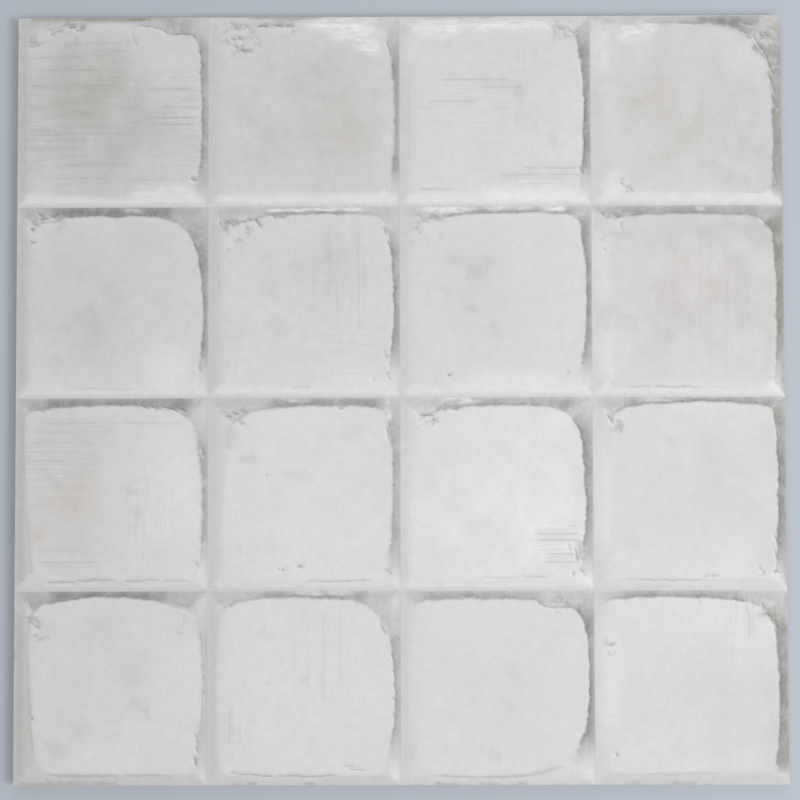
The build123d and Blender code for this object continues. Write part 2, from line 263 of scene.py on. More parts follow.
# Dark nicks and cracks: start, end, width, depth of tone
NICKS = {
    (0, 0): [
        (29, 6.5, 34, 5.5, 1.4, 1), (35, 6, 39.5, 5, 1.6, 1), (33, 8, 39, 6.8, 1.2, 0.8),
        (19, 9.5, 22, 11, 1.2, 0.9), (22, 9, 26.5, 7.5, 0.9, 0.8), (17.5, 8, 21, 7.2, 0.8, 0.6),
        (6, 15, 11, 14.5, 0.8, 0.6), (7, 17, 14, 16.2, 0.9, 0.7), (9, 15.8, 16, 15, 0.7, 0.6),
        (70, 5, 78, 6, 0.9, 0.8), (78, 6, 84, 7.5, 1, 0.8), (84, 7.5, 87, 9.8, 1.1, 0.9),
        (87, 10, 101, 10.2, 1.2, 1), (101, 10.2, 103.5, 13, 1, 0.8), (66, 10, 70, 18, 1.6, 0.3),
        (86, 5.5, 88, 9, 0.7, 0.5), (90, 5, 91, 9, 0.7, 0.5), (94, 5.5, 95, 9, 0.7, 0.5),
        (100, 94.5, 104, 95, 1.4, 1), (30, 1.6, 72, 1.4, 1.2, 0.5),
    ],
    (0, 1): [
        (20, 5.5, 24, 6.8, 1.2, 0.9), (29, 5.8, 35, 5.5, 1.8, 1), (39, 5.5, 44, 5.8, 2, 1),
        (44, 5.2, 50, 5.6, 1.7, 0.9), (13, 12, 16, 14, 1, 0.7), (15, 16, 17.5, 19, 0.9, 0.7),
        (19, 19.5, 22, 21.5, 1, 0.8), (22, 21, 26, 20, 0.8, 0.7), (14, 20, 16, 22, 0.8, 0.6),
        (18, 12, 20, 15.5, 0.8, 0.6), (25, 11, 30, 14, 0.7, 0.5), (26, 15.5, 31, 17, 0.7, 0.5),
        (12, 3, 15, 4.5, 1, 0.7), (15, 6, 18, 7.5, 0.9, 0.6), (14, 26, 16, 27, 0.6, 0.5),
        (25, 0.8, 90, 0.8, 1.6, 0.5), (103.5, 14, 106, 24, 0.9, 0.8),
    ],
    (0, 2): [
        (85, 5, 90, 8, 1, 0.5), (90, 6, 95, 8.5, 1, 0.5), (93, 5.5, 99, 8, 0.9, 0.4),
        (98, 9, 102, 10.5, 1, 0.6), (101, 7, 103, 10, 0.8, 0.4), (103, 12, 104, 16, 0.8, 0.6),
        (103.5, 88, 106, 93, 1.2, 0.8), (5, 36, 5.4, 88, 0.7, 0.15),
    ],
    (0, 3): [
        (50, 5, 68, 5, 1.2, 0.7), (94, 11.5, 96, 16, 1, 0.9), (96, 16, 99, 20, 1, 0.9),
        (98.5, 19.5, 102, 24, 1, 0.9), (102, 24, 104, 30, 1, 0.9), (104, 30, 106, 35, 0.9, 0.8),
        (98, 9, 99.5, 12.5, 0.8, 0.7), (101, 12, 103.5, 13, 0.8, 0.6), (102, 17, 105, 19.5, 0.9, 0.6),
        (105, 24, 106, 28, 0.8, 0.6), (106, 52, 108.5, 55, 0.9, 0.7), (88, 5, 95, 7, 1.2, 0.8),
        (104, 37, 107, 46, 1.2, 0.8), (16, 97.5, 19, 99.5, 1, 0.8), (19, 99.5, 23, 101, 0.8, 0.7),
        (22, 100.5, 24.5, 104, 0.9, 0.8), (86, 104, 100, 103.6, 0.8, 0.35),
        (84, 8.5, 92, 11.5, 0.8, 0.5), (30, 3, 36, 4, 1.2, 0.7), (8, 3, 14, 4.5, 1.6, 0.4),
        (105.5, 90, 107, 98, 1.2, 0.8),
    ],
    (1, 0): [
        (8, 12.5, 11, 14, 1.3, 1), (9, 11, 12, 10.5, 0.8, 0.7), (8, 20.5, 11.5, 20.8, 1.1, 0.9),
        (12, 3.5, 16, 6.5, 1.4, 0.9), (13, 8, 18, 7, 1, 0.8), (18, 4.5, 23, 6.5, 1.2, 0.7),
        (20, 9.5, 27, 7.5, 0.9, 0.7), (15, 9.3, 20, 9.8, 0.8, 0.5), (22, 7.5, 30, 6, 1, 0.8),
        (105.5, 92, 107, 96, 0.9, 0.6), (35, 105.3, 70, 105.6, 0.7, 0.3),
    ],
    (1, 1): [
        (27, 7, 29.5, 10.5, 1.6, 1), (29, 10, 31.5, 13, 1.4, 1), (6, 8, 9, 12, 1.2, 0.8),
        (9, 9.5, 13, 9, 0.9, 0.7), (14, 8.5, 24, 9.5, 1, 0.6), (22, 7, 27, 9, 1, 0.7),
        (9, 17, 13, 16, 0.8, 0.5), (40, 6, 45, 7, 1.2, 0.8), (37, 5, 40, 7.5, 1.2, 0.7),
        (101.5, 12, 103, 17, 1, 0.8), (104, 20, 105.5, 26, 1.1, 0.8), (102, 85, 104, 89, 0.9, 0.6),
        (102.5, 96, 105, 101, 0.9, 0.6), (95, 99.5, 95.5, 102, 0.8, 0.7), (5.5, 33, 6.3, 40, 0.9, 0.25),
        (6.2, 42, 6.8, 54, 0.8, 0.25), (48, 104.8, 60, 105.2, 0.8, 0.3),
    ],
    (1, 2): [
        (16, 7, 24, 7, 1.4, 0.6), (24, 6.8, 31, 6, 1.4, 0.7), (14, 9.5, 17, 9.8, 0.9, 0.6),
        (11, 15, 12.5, 17, 0.8, 0.6), (9, 5, 13, 7, 0.9, 0.5), (105, 75, 108, 78, 0.8, 0.6),
        (103, 91, 107, 92, 1, 0.7), (96, 96, 98, 98, 0.8, 0.5), (27, 98.5, 29.5, 97.5, 1, 0.7),
    ],
    (1, 3): [
        (6, 4, 8, 6, 1.1, 0.8), (12, 4, 15, 7.5, 1.2, 0.8), (14, 6, 17, 8, 0.9, 0.6),
        (17, 9.5, 17.6, 14, 0.9, 0.5), (7.5, 25, 8, 27, 1.2, 0.4), (20, 105.2, 35, 105, 0.8, 0.4),
        (35, 105.3, 63, 105.5, 0.9, 0.45), (97, 8, 100, 10.5, 0.8, 0.7),
    ],
    (2, 0): [
        (72, 4, 77, 7, 0.9, 0.8), (78, 4, 82, 7, 0.9, 0.8), (85, 5, 92, 7, 1, 0.9),
        (93, 5.5, 99, 8.5, 1, 0.8), (107.5, 28, 108.5, 34, 1.5, 1), (18, 105.4, 35, 106, 1, 0.5),
        (35, 104.6, 58, 104.4, 1.4, 0.6), (62, 105.2, 84, 104.6, 1.3, 0.5),
        (84, 105, 100, 105, 0.8, 0.4), (104, 93, 106, 98, 0.8, 0.5), (11, 6.5, 17, 7.5, 1.2, 0.7),
    ],
    (2, 1): [
        (10, 10.5, 14, 10.8, 1, 0.7), (14, 8, 18, 10.5, 1.6, 0.9), (18, 7, 22, 8.5, 1.2, 0.7),
        (20, 9.8, 24, 8, 1, 0.6), (42, 98.5, 45, 99.6, 0.9, 0.8), (51, 96.2, 55, 97.2, 0.8, 0.7),
        (33, 45.5, 35, 44.5, 0.8, 0.5), (75, 6, 79, 7, 1, 0.8), (103, 17, 104.5, 25, 0.8, 0.7),
        (55, 105.3, 95, 105, 0.8, 0.45), (101, 98, 106, 101, 0.9, 0.6),
    ],
    (2, 2): [
        (11, 11, 19, 10.7, 1.1, 0.9), (18, 11.5, 20, 14, 1, 0.8), (20, 13, 23, 15, 0.9, 0.6),
        (18.5, 15, 20, 16.5, 0.8, 0.5), (28, 6.5, 34, 7.5, 1, 0.5), (96, 84, 98, 90, 0.8, 0.5),
        (100, 86, 101, 96, 0.7, 0.5), (102, 84, 104, 95, 0.8, 0.6), (98, 100, 98.7, 103, 1, 0.7),
        (102, 98, 106, 103, 0.9, 0.6), (45, 103.5, 70, 104, 0.8, 0.35),
        (70, 103.6, 85, 103.4, 0.9, 0.45),
    ],
    (2, 3): [
        (8, 10, 12, 14, 1, 0.8), (10, 13, 11.5, 15.5, 1, 0.8), (13, 9, 17, 7, 1, 0.6),
        (103.5, 79, 105, 84, 1.1, 0.8), (103, 88, 105.5, 96, 1.2, 0.8), (102, 100, 106, 101, 1.4, 0.9),
        (96, 99, 97, 102.5, 0.8, 0.8), (94, 97, 95.5, 100, 0.7, 0.6), (18, 105, 65, 105.2, 0.8, 0.4),
        (62, 103.5, 72, 102.6, 0.8, 0.5),
    ],
    (3, 0): [
        (5, 10, 7, 13, 1.4, 0.4), (8, 5, 10, 9, 1.2, 0.4), (2, 8, 5, 6, 1.2, 0.3),
        (6, 14, 9, 18, 1, 0.2), (10, 18, 13, 20, 1, 0.4), (12, 20.5, 15.5, 21.3, 1.2, 0.7),
        (10.5, 72, 11.5, 72.8, 1.4, 1), (97, 13, 97, 22, 0.7, 0.2), (91, 23, 98, 24.5, 0.8, 0.3),
        (103, 80, 104.8, 84, 0.8, 0.8), (104, 84, 105.5, 88, 0.8, 0.8),
        (104.2, 88, 105.2, 92, 0.9, 0.9), (103.6, 94, 104.6, 99.5, 1.2, 1),
        (20, 104.5, 60, 105, 1.6, 0.45), (60, 105, 90, 104.8, 1.2, 0.35), (92, 7, 101, 9.5, 1, 0.4),
    ],
    (3, 1): [
        (12, 8.5, 16, 8, 1, 0.6), (33, 53.5, 36.5, 53.2, 1, 0.3), (12, 103.5, 40, 105.3, 0.9, 0.6),
        (40, 105.3, 75, 105, 0.9, 0.6), (78, 99, 84, 99.5, 0.7, 0.5), (80, 101, 92, 102, 0.7, 0.4),
        (106.5, 45, 107.4, 50, 1.1, 0.9), (106.6, 52, 107.4, 56, 1.1, 0.9),
        (106.4, 60, 107.2, 64, 1, 0.8), (106.6, 68, 107, 73, 1, 0.8), (99, 18, 102, 25, 0.9, 0.8),
        (105, 35, 106.5, 40, 1, 0.8),
    ],
    (3, 2): [
        (36, 3, 42, 2.8, 2.6, 0.9), (12, 4, 20, 4, 2, 0.5), (78, 6, 83, 9.6, 1.1, 1),
        (83, 9.8, 99, 9.6, 0.9, 0.7), (86, 6, 92, 8, 0.7, 0.5), (91, 6.5, 98, 9, 0.7, 0.5),
        (20, 105.2, 45, 105.8, 1.1, 0.4), (45, 105.8, 75, 105.3, 1.8, 0.4),
        (70, 105, 92, 100.5, 2.4, 0.35),
    ],
    (3, 3): [
        (8, 32.5, 12, 30.5, 0.6, 0.6), (7, 34.5, 9, 36.5, 1, 0.6), (11.5, 91, 13, 95, 0.8, 0.6),
        (59.3, 3, 59.6, 10, 0.8, 0.3), (98, 13.5, 101, 15.5, 1.1, 0.9), (103, 17, 104, 22, 1.1, 0.9),
        (103, 97, 105, 101, 2.4, 0.9), (95, 8, 98, 12, 0.9, 0.7), (78, 5, 86, 6.5, 1.4, 0.8),
        (30, 104.6, 70, 104, 1.4, 0.25), (77, 4, 77.4, 9, 0.7, 0.25), (81, 4, 81.3, 11, 0.6, 0.2),
        (86, 5, 86.3, 13, 0.6, 0.25), (90, 6, 90.4, 12, 0.6, 0.2),
    ],
}

# Glossy strokes where the glaze has run thick, painted with white highlights where they glint: start,
# end, width, strength
GLOSSY_GLINTS = {
    (0, 0): [(40, 5, 70, 4, 6, 0.2), (62, 105, 102, 99, 7, 0.45)],
    (0, 1): [
        (52, 4, 100, 3, 6, 0.7), (66, 7, 101, 11, 9, 0.75), (84, 16, 101, 20, 6, 0.8),
        (20, 106, 100, 106, 4, 0.15),
    ],
    (0, 2): [(6, 8, 40, 6, 8, 0.7), (30, 6, 98, 5, 5, 0.6), (40, 105, 102, 103, 8, 0.25)],
    (0, 3): [(14, 12, 40, 6, 8, 0.7), (4, 4, 22, 10, 9, 0.4), (14, 106, 80, 106, 4, 0.2)],
    (1, 0): [(60, 2, 75, 2.5, 2.4, 0.5), (30, 106, 100, 105, 4, 0.2)],
    (1, 1): [(30, 2.3, 64, 2, 1.7, 1), (56, 2, 96, 1.7, 1.8, 1), (72, 101, 102, 100, 6, 0.25)],
    (1, 2): [
        (10, 2.2, 46, 1.8, 3.2, 1), (44, 1.6, 80, 1.4, 2.2, 0.8), (80, 1.8, 98, 1.4, 3, 1),
        (30, 104, 100, 102, 9, 0.2),
    ],
    (1, 3): [(60, 2, 66, 2.4, 2.4, 0.6)],
    (2, 0): [(60, 107, 104, 106, 4, 0.2)],
    (2, 1): [(102.5, 2, 104.5, 2, 1.8, 1), (103, 5, 105, 14, 2.4, 0.7), (35, 2, 62, 1.6, 1.6, 0.7)],
    (2, 2): [(18, 2, 48, 2, 2.4, 0.9)],
    (2, 3): [(24, 2, 52, 1.6, 1.8, 0.6)],
    (3, 1): [(45, 1.6, 88, 1.4, 1.6, 0.7)],
}

# Soft pale sheen: start, end, width, strength
SHEEN = {
    (0, 2): [(4, 10, 5, 30, 6, 0.4), (40, 104, 100, 102, 9, 0.35)],
    (0, 3): [(5, 6, 6, 36, 8, 0.6), (8, 92, 18, 104, 10, 0.5)],
    (1, 0): [(72, 100, 100, 86, 18, 0.45)],
    (1, 2): [(30, 103, 95, 102, 10, 0.3)],
    (1, 3): [(4, 12, 6, 60, 7, 0.6), (5, 70, 8, 104, 7, 0.6)],
    (2, 0): [(95, 20, 102, 90, 12, 0.35)],
    (2, 2): [(6, 30, 8, 100, 10, 0.3)],
    (2, 3): [(4, 20, 5, 95, 8, 0.6)],
    (3, 3): [(5, 10, 6, 90, 12, 0.45)],
}

# Brownish breaks along the outer border of the tile: start, end, width, strength
SCARS = {
    (0, 0): [(8, 0.6, 44, 0.6, 2.4, 0.5), (36, 0.6, 76, 0.6, 4, 0.8), (70, 0.5, 92, 0.5, 2, 0.4)],
    (0, 1): [(22, 0.4, 66, 0.4, 2, 0.4)],
    (0, 2): [(10, 0.3, 60, 0.3, 1.4, 0.3)],
    (3, 0): [(2, 110, 60, 110, 1.4, 0.4)],
    (3, 1): [
        (10, 110.2, 30, 110.2, 1, 0.5), (55, 110.2, 62, 110.2, 1, 0.55), (84, 108.5, 88, 109, 1, 0.5),
    ],
    (3, 2): [
        (20, 110.2, 34, 110.2, 1, 0.55), (44, 110.2, 56, 110.2, 1, 0.55),
        (66, 110.2, 72, 110.2, 1, 0.55),
    ],
    (3, 3): [(14, 110.2, 28, 110.2, 1, 0.5), (40, 110.2, 60, 110.2, 1, 0.4)],
}

# Small pits in the glaze: place and radius
PITS = {
    (0, 1): [(20, 20, 0.6), (15, 14, 0.7)],
    (1, 1): [(12, 25, 0.6), (17, 20, 0.4)],
    (1, 2): [(28, 98, 0.6)],
    (2, 1): [(41, 98, 0.6), (45, 97, 0.4), (53, 96, 0.5)],
    (2, 3): [(16, 20, 0.5)],
    (3, 0): [(12, 25, 0.7), (17, 27, 0.5)],
    (3, 3): [(9, 31, 0.5), (11, 35, 0.4), (12, 93, 0.6)],
}

# Crumbled patches of glaze: place of the middle, reach, strength
CRUMBS = {
    (0, 0): [(26, 8, 13, 0.9), (10, 14, 7, 0.6)],
    (0, 1): [(19, 13, 14, 1), (44, 5, 10, 0.8)],
    (0, 2): [(95, 9, 9, 0.9)],
    (0, 3): [(100, 15, 12, 1), (105, 30, 8, 0.9), (107, 46, 6, 0.7), (20, 100, 8, 0.8)],
    (1, 0): [(11, 14, 9, 1), (22, 8, 8, 0.7)],
    (1, 1): [(17, 12, 12, 1)],
    (1, 2): [(17, 12, 12, 0.9)],
    (1, 3): [(16, 9, 12, 0.9), (8, 25, 8, 0.35)],
    (2, 1): [(18, 13, 9, 0.8)],
    (2, 2): [(14, 12, 10, 0.9), (102, 88, 8, 0.6)],
    (2, 3): [(13, 15, 8, 0.8), (100, 97, 8, 0.7)],
    (3, 0): [(10, 15, 9, 0.9), (16, 25, 7, 0.5)],
    (3, 2): [(92, 8, 9, 0.7)],
    (3, 3): [(9, 33, 7, 0.5), (98, 13, 8, 0.7)],
}

# Brushed streaks: place of the middle, reach in x and y, strength across, strength down
BRUSHED = {
    (0, 0): [(35, 55, 60, 60, 1, 0), (95, 60, 30, 50, 0.9, 0)],
    (0, 2): [(45, 50, 45, 40, 0.5, 0), (80, 95, 40, 14, 0.8, 0), (70, 40, 22, 50, 0, 0.35)],
    (1, 1): [(80, 40, 30, 50, 0, 0.7), (75, 85, 45, 22, 0.6, 0), (20, 85, 24, 24, 0.5, 0.5)],
    (1, 3): [(65, 60, 45, 55, 0.15, 0.5)],
    (2, 0): [(25, 35, 40, 40, 0.8, 0), (25, 90, 30, 14, 0.7, 0), (80, 70, 28, 40, 0, 0.8)],
    (2, 2): [(92, 84, 24, 18, 0.9, 0), (40, 60, 50, 40, 0.2, 0)],
    (3, 1): [(65, 40, 30, 45, 0, 0.45), (18, 80, 14, 26, 0, 0.7)],
    (3, 3): [(80, 25, 24, 30, 0, 0.5), (86, 12, 18, 18, 0, 1), (45, 60, 40, 40, 0.15, 0.15)],
}

# Clouds of stain, the pale ones partly painted light: place of the middle, reach in x and y, colour,
# strength
STAINS = {
    (0, 0): [
        (45, 48, 34, 40, OLIVE, 0.65), (50, 70, 60, 50, SMOKE, 0.4), (85, 60, 24, 44, SMOKE, 0.05),
    ],
    (0, 1): [(76, 62, 26, 40, BEIGE, 0.75), (40, 55, 50, 50, SMOKE, 0.38)],
    (0, 2): [(70, 45, 24, 30, SMOKE, 0.1)],
    (0, 3): [
        (55, 66, 60, 56, BEIGE, 0.6), (50, 50, 60, 60, SMOKE, 0.15), (30, 40, 20, 26, PINKISH, 0.12),
        (104, 92, 28, 30, SMOKE, 0.4),
    ],
    (1, 0): [(42, 70, 14, 20, OLIVE, 0.15), (55, 50, 50, 50, SMOKE, 0.3)],
    (1, 1): [(72, 40, 20, 24, BEIGE, 0.36), (40, 55, 26, 26, SMOKE, 0.14)],
    (1, 2): [(45, 50, 18, 28, SMOKE, 0.22), (50, 37, 7, 6, PINKISH, 0.35)],
    (1, 3): [
        (62, 40, 52, 44, PINKISH, 0.6), (40, 70, 54, 50, SMOKE, 0.25), (85, 14, 12, 8, SMOKE, 0.25),
        (104, 50, 26, 80, SMOKE, 0.4), (55, 12, 56, 14, SMOKE, 0.3),
    ],
    (2, 0): [
        (30, 55, 24, 40, BEIGE, 0.55), (35, 60, 10, 8, RUST, 0.35), (14, 80, 4, 5, RUST, 0.3),
        (85, 60, 18, 40, HIGHLIGHT_TINT, 0.5), (25, 20, 30, 14, SMOKE, 0.2),
    ],
    (2, 1): [(60, 60, 60, 60, HIGHLIGHT_TINT, 0.45)],
    (2, 2): [(50, 60, 80, 80, HIGHLIGHT_TINT, 0.7)],
    (2, 3): [
        (60, 45, 44, 44, SMOKE, 0.22), (70, 40, 20, 20, BEIGE, 0.14), (104, 62, 22, 70, SMOKE, 0.28),
    ],
    (3, 0): [
        (25, 60, 18, 36, SMOKE, 0.14), (50, 22, 12, 9, BEIGE, 0.35), (68, 46, 9, 11, BEIGE, 0.4),
        (38, 79, 5, 5, RUST, 0.3), (25, 90, 7, 4, RUST, 0.2),
    ],
    (3, 1): [(55, 60, 38, 40, HIGHLIGHT_TINT, 0.25)],
    (3, 2): [(60, 60, 30, 34, SMOKE, 0.1)],
    (3, 3): [(70, 60, 44, 44, SMOKE, 0.25), (104, 85, 26, 50, SMOKE, 0.45)],
}

# Faint smudges wiped over the pads: start, end, width, depth of tone
WISPS = {
    (0, 1): [
        (58, 28, 66, 36, 3, 0.3), (62, 44, 72, 50, 3, 0.3), (33, 52, 36, 55, 3, 0.3),
        (21, 55, 26, 63, 4, 0.2), (95, 42, 98, 48, 4, 0.3), (78, 62, 90, 68, 5, 0.2),
    ],
    (0, 2): [(28, 14, 29, 19, 2, 0.3), (68, 38, 72, 52, 4, 0.2), (85, 68, 92, 76, 3, 0.2)],
    (0, 3): [
        (72, 33, 80, 41, 3, 0.3), (90, 75, 103, 84, 2, 0.35), (50, 35, 56, 40, 4, 0.2),
        (84, 66, 92, 73, 2, 0.25), (24, 49, 30, 52, 2, 0.25), (62, 85, 80, 96, 6, 0.2),
    ],
    (1, 0): [
        (33, 62, 40, 67, 2.5, 0.3), (41, 57, 47, 64, 3, 0.3), (42, 66, 50, 72, 3, 0.3),
        (25, 69, 31, 73, 2.5, 0.25), (18, 86, 28, 92, 5, 0.2), (24, 30, 33, 27, 3, 0.15),
    ],
    (1, 1): [
        (47, 33, 56, 36, 2, 0.25), (33, 40, 39, 53, 5, 0.15), (36, 64, 46, 76, 6, 0.2),
        (68, 26, 72, 35, 4, 0.12), (74, 40, 80, 50, 5, 0.12),
    ],
    (1, 2): [
        (39, 57, 46, 63, 2.5, 0.35), (24, 48, 30, 53, 3, 0.25), (49, 30, 53, 35, 3, 0.25),
        (27, 28, 37, 35, 4, 0.25), (40, 36, 47, 43, 5, 0.3), (53, 69, 58, 78, 4, 0.25),
    ],
    (1, 3): [
        (10, 58, 25, 73, 7, 0.2), (22, 81, 35, 89, 3, 0.15), (45, 19, 48, 27, 4, 0.2),
        (79, 12, 91, 18, 6, 0.25), (82, 26, 82, 34, 3, 0.2), (36, 72, 50, 79, 4, 0.2),
    ],
    (2, 0): [(60, 50, 70, 56, 2, 0.35), (70, 62, 72, 70, 2.5, 0.3), (20, 46, 28, 53, 4, 0.25)],
    (2, 1): [
        (19, 37, 29, 33, 4, 0.3), (14, 16, 13, 30, 5, 0.3), (44, 44, 61, 46, 5, 0.2),
        (76, 24, 92, 18, 5, 0.15),
    ],
    (2, 3): [(40, 22, 52, 30, 4, 0.15), (16, 76, 26, 88, 5, 0.15)],
    (3, 0): [(67, 61, 78, 70, 2.5, 0.3), (72, 91, 79, 94, 2, 0.15), (18, 85, 30, 93, 5, 0.25)],
    (3, 1): [(52, 50, 59, 51, 2, 0.3), (29, 20, 38, 28, 5, 0.15)],
    (3, 2): [(49, 89, 56, 97, 4, 0.25), (58, 62, 66, 68, 4, 0.2), (62, 40, 68, 56, 6, 0.15)],
    (3, 3): [(44, 86, 52, 96, 6, 0.15), (66, 50, 76, 60, 6, 0.12)],
}

# Dull wash left on the bevels of each square: on its left side, on its lower side
WASHES = [
    [(0.5, 0), (0.2, 0), (0.1, 0), (0, 0.2)],
    [(0.5, 0.1), (0.35, 0), (0, 0), (0, 0.1)],
    [(0.7, 0.4), (0.2, 0.2), (0.05, 0.1), (0.05, 0.35)],
    [(0.9, 0.8), (0.4, 0.65), (0, 0.4), (0.05, 0.6)],
]


def rim_loops(node):
    """The arris of every pad, read from the part's own mesh, as closed loops by square."""
    points = np.array([v.co for v in node.data.vertices]) / MM
    arris = points[np.abs(points[:, 2] - ARRIS_LEVEL) < LEVEL_SLACK][:, :2]
    arris = np.unique(np.round(arris, 3), axis=0)
    loops = {}
    for row in range(GRID):
        for column in range(GRID):
            centre = place(row, column, PITCH / 2, PITCH / 2)
            away = arris - centre
            own = away[np.max(np.abs(away), axis=1) < PITCH / 2]
            order = np.argsort(np.arctan2(own[:, 1], own[:, 0]))
            loops[row, column] = own[order] + centre
    return loops


def resample(loop, step):
    """Points about step apart along a closed loop, and the arc length at each."""
    closed = np.vstack([loop, loop[:1]])
    lengths = np.hypot(*np.diff(closed, axis=0).T)
    arc = np.concatenate([[0], np.cumsum(lengths)])
    count = int(round(arc[-1] / step))
    wanted = np.linspace(0, arc[-1], count, endpoint=False)
    points = np.stack([np.interp(wanted, arc, closed[:, axis]) for axis in (0, 1)], axis=1)
    return points, wanted


def outward(points, span):
    """Outward normals of a counter-clockwise loop, taken over span points each way."""
    along = np.roll(points, -span, axis=0) - np.roll(points, span, axis=0)
    along /= np.maximum(np.hypot(*along.T), 1e-9)[:, None]
    return np.stack([along[:, 1], -along[:, 0]], axis=1)


def side_shares(normals):
    """How much each side (left, lower, right, upper) owns a stretch of rim with these normals."""
    toward = np.concatenate([-normals, normals], axis=1)
    shares = np.clip(toward, 0, 1) ** 2
    return shares / shares.sum(axis=1, keepdims=True)


def gaps_to(points, spot):
    return np.hypot(*(points - spot).T)


class Pad:
    """One raised pad: its square, its broken rim, and how far any point lies inside it."""

    STEP = 0.5
    BATCH = 2000
    EDGE_FADE = 5

    # Numbers of these sides among left, lower, right and upper
    RIGHT = 2
    UPPER = 3

    def __init__(self, row, column, loop):
        self.row = row
        self.column = column
        points, arc = resample(loop, self.STEP)
        normals = outward(points, span=8)
        shares = side_shares(normals)
        local = points - self.at(0, 0)
        low_half = smooth(0.5 * PITCH, 0.75 * PITCH, -local[:, 1])
        self.facing_right = 1 + low_half * (smooth(0.3, 0.9, shares[:, self.RIGHT]) - 1)
        kept = np.ones_like(shares)
        kept[:, self.RIGHT] = self.facing_right
        tear = (shares * kept) @ np.array(TEAR[row][column])

        # Every rim runs along a lane of its own through the noise
        lane = np.full(len(arc), 53.0 * row + 17.0 * column)
        along = np.stack([arc, lane], axis=1)
        burst = smooth(-0.15, 0.4, noise_d.at(along, 17, 2))
        ragged = 0.6 * noise_a.at(along, 13, 2) + 0.55 * noise_b.at(along, 5, 2)
        ragged += 0.6 * burst * noise_c.at(along, 2.2, 2)
        gentle = 0.35 * noise_d.at(along, 18, 2)
        shift = tear * (ragged - 0.1) + (1 - tear) * gentle
        uneven = 0.75 + 0.5 * noise_b.at(along, 3, 2)
        for x, y, half, depth in self.own(CHIPS):
            near = np.exp(-((gaps_to(points, self.at(x, y)) / half) ** 2))
            shift -= depth * near * uneven
            tear = np.maximum(tear, 0.75 * near)
        self.rim = points + normals * shift[:, None]
        self.normals = outward(self.rim, span=3)
        self.tear = tear
        self.comb = noise_d.at(along, 3.6, 2)
        self.teeth = smooth(0.1, 0.5, noise_a.at(along, 2.0, 2))

        # Painted shadow under the rim, along the upper and along the right edge
        self.darkness = np.zeros((len(arc), 2))
        sides = ((local[:, 0], self.UPPER), (-local[:, 1], self.RIGHT))
        for number, (travel, side) in enumerate(sides):
            _, start, end, dark = EDGE_TONES[row][column][number]
            stretch = smooth(start - self.EDGE_FADE, start + self.EDGE_FADE, travel)
            stretch = stretch * smooth(end + self.EDGE_FADE, end - self.EDGE_FADE, travel)
            self.darkness[:, number] = dark * stretch * smooth(0.1, 0.6, shares[:, side])

    def at(self, x, y):
        """Point on the tile from a place inside this pad's square."""
        return place(self.row, self.column, x, y)

    def own(self, table):
        """What a table holds for this pad's square."""
        return table.get((self.row, self.column), ())

    def measure(self, points):
        """Signed distance inside the rim, and the number of the nearest rim point."""
        inside = np.empty(len(points))
        nearest = np.empty(len(points), int)
        run = np.roll(self.rim, -1, axis=0) - self.rim
        length2 = np.maximum((run**2).sum(axis=1), 1e-9)
        for low in range(0, len(points), self.BATCH):
            part = points[low:low + self.BATCH]
            offset = part[:, None, :] - self.rim[None, :, :]
            t = np.clip((offset * run).sum(axis=2) / length2, 0, 1)
            gap = offset - t[:, :, None] * run
            gap2 = (gap**2).sum(axis=2)
            best = np.argmin(gap2, axis=1)
            rows = np.arange(len(part))
            distance = np.sqrt(gap2[rows, best])
            cross = run[best, 0] * offset[rows, best, 1] - run[best, 1] * offset[rows, best, 0]
            inside[low:low + self.BATCH] = np.where(cross > 0, distance, -distance)
            nearest[low:low + self.BATCH] = best
        return inside, nearest

    def ring(self, inset, torn_step, soft_step):
        """Points along the rim moved inward by inset, closer together where the rim is torn."""
        line = self.rim - self.normals * inset
        step = torn_step + (soft_step - torn_step) * smooth(0.6, 0.2, self.tear)
        travelled = np.cumsum(self.STEP / step)
        keep = np.diff(np.floor(np.concatenate([[0], travelled]))) > 0
        return line[keep]


pads = {key: Pad(*key, loop) for key, loop in rim_loops(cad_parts["wall_tile"]).items()}


def border_distances(points, pad):
    """Distances in from the left, lower, right and upper border of the square."""
    local = points - pad.at(0, PITCH)
    return np.concatenate([local, PITCH - local], axis=1)


def border_distance(points, pad):
    """Distance in from the nearest border of the square."""
    return border_distances(points, pad).min(axis=1)


def mitred_shares(points, pad):
    """Which of the four bevels a point belongs to, parted along the mitres."""
    gaps = border_distances(points, pad)
    shares = np.exp(-(gaps - gaps.min(axis=1, keepdims=True)) / MITRE_BLUR)
    return shares / shares.sum(axis=1, keepdims=True)


def stroke(points, start, end, width):
    """How near each point lies to a straight stroke: 1 on its line, 0 from width away."""
    run = end - start
    length = np.hypot(*run)
    t = (points - start) @ run / length**2
    off = points - start - np.clip(t, 0, 1)[:, None] * run
    taper = np.clip(smooth(-0.1, 0.25, t) * smooth(1.1, 0.75, t), 0.15, 1)
    return smooth(width * taper, 0.2 * width * taper, np.hypot(*off.T))


def strokes(table, points, pad, spread=1.0, fading=False):
    """Deepest tone that any stroke of a table leaves at each point."""
    depth = np.zeros(len(points))
    wander = 0.5 * np.stack([noise_a.at(points, 5, 2), noise_d.at(points, 5, 2)], axis=1)
    for x0, y0, x1, y1, width, tone in pad.own(table):
        start = pad.at(x0, y0)
        end = pad.at(x1, y1)
        near = stroke(points + wander, start, end, 0.75 * width * spread)
        if fading:
            run = end - start
            t = (points - start) @ run / (run @ run)
            near = near * smooth(-0.15, 0.3, t) * smooth(1.15, 0.7, t)
        depth = np.maximum(depth, tone * near)
    return depth


def score_lines(pad):
    """Every drag line of a square as (start, end, depth of tone)."""
    for y, x0, x1, depth in pad.own(SCORES_ACROSS):
        yield pad.at(x0, y), pad.at(x1, y), depth
    for x, y0, y1, depth in pad.own(SCORES_DOWN):
        yield pad.at(x, y0), pad.at(x, y1), depth


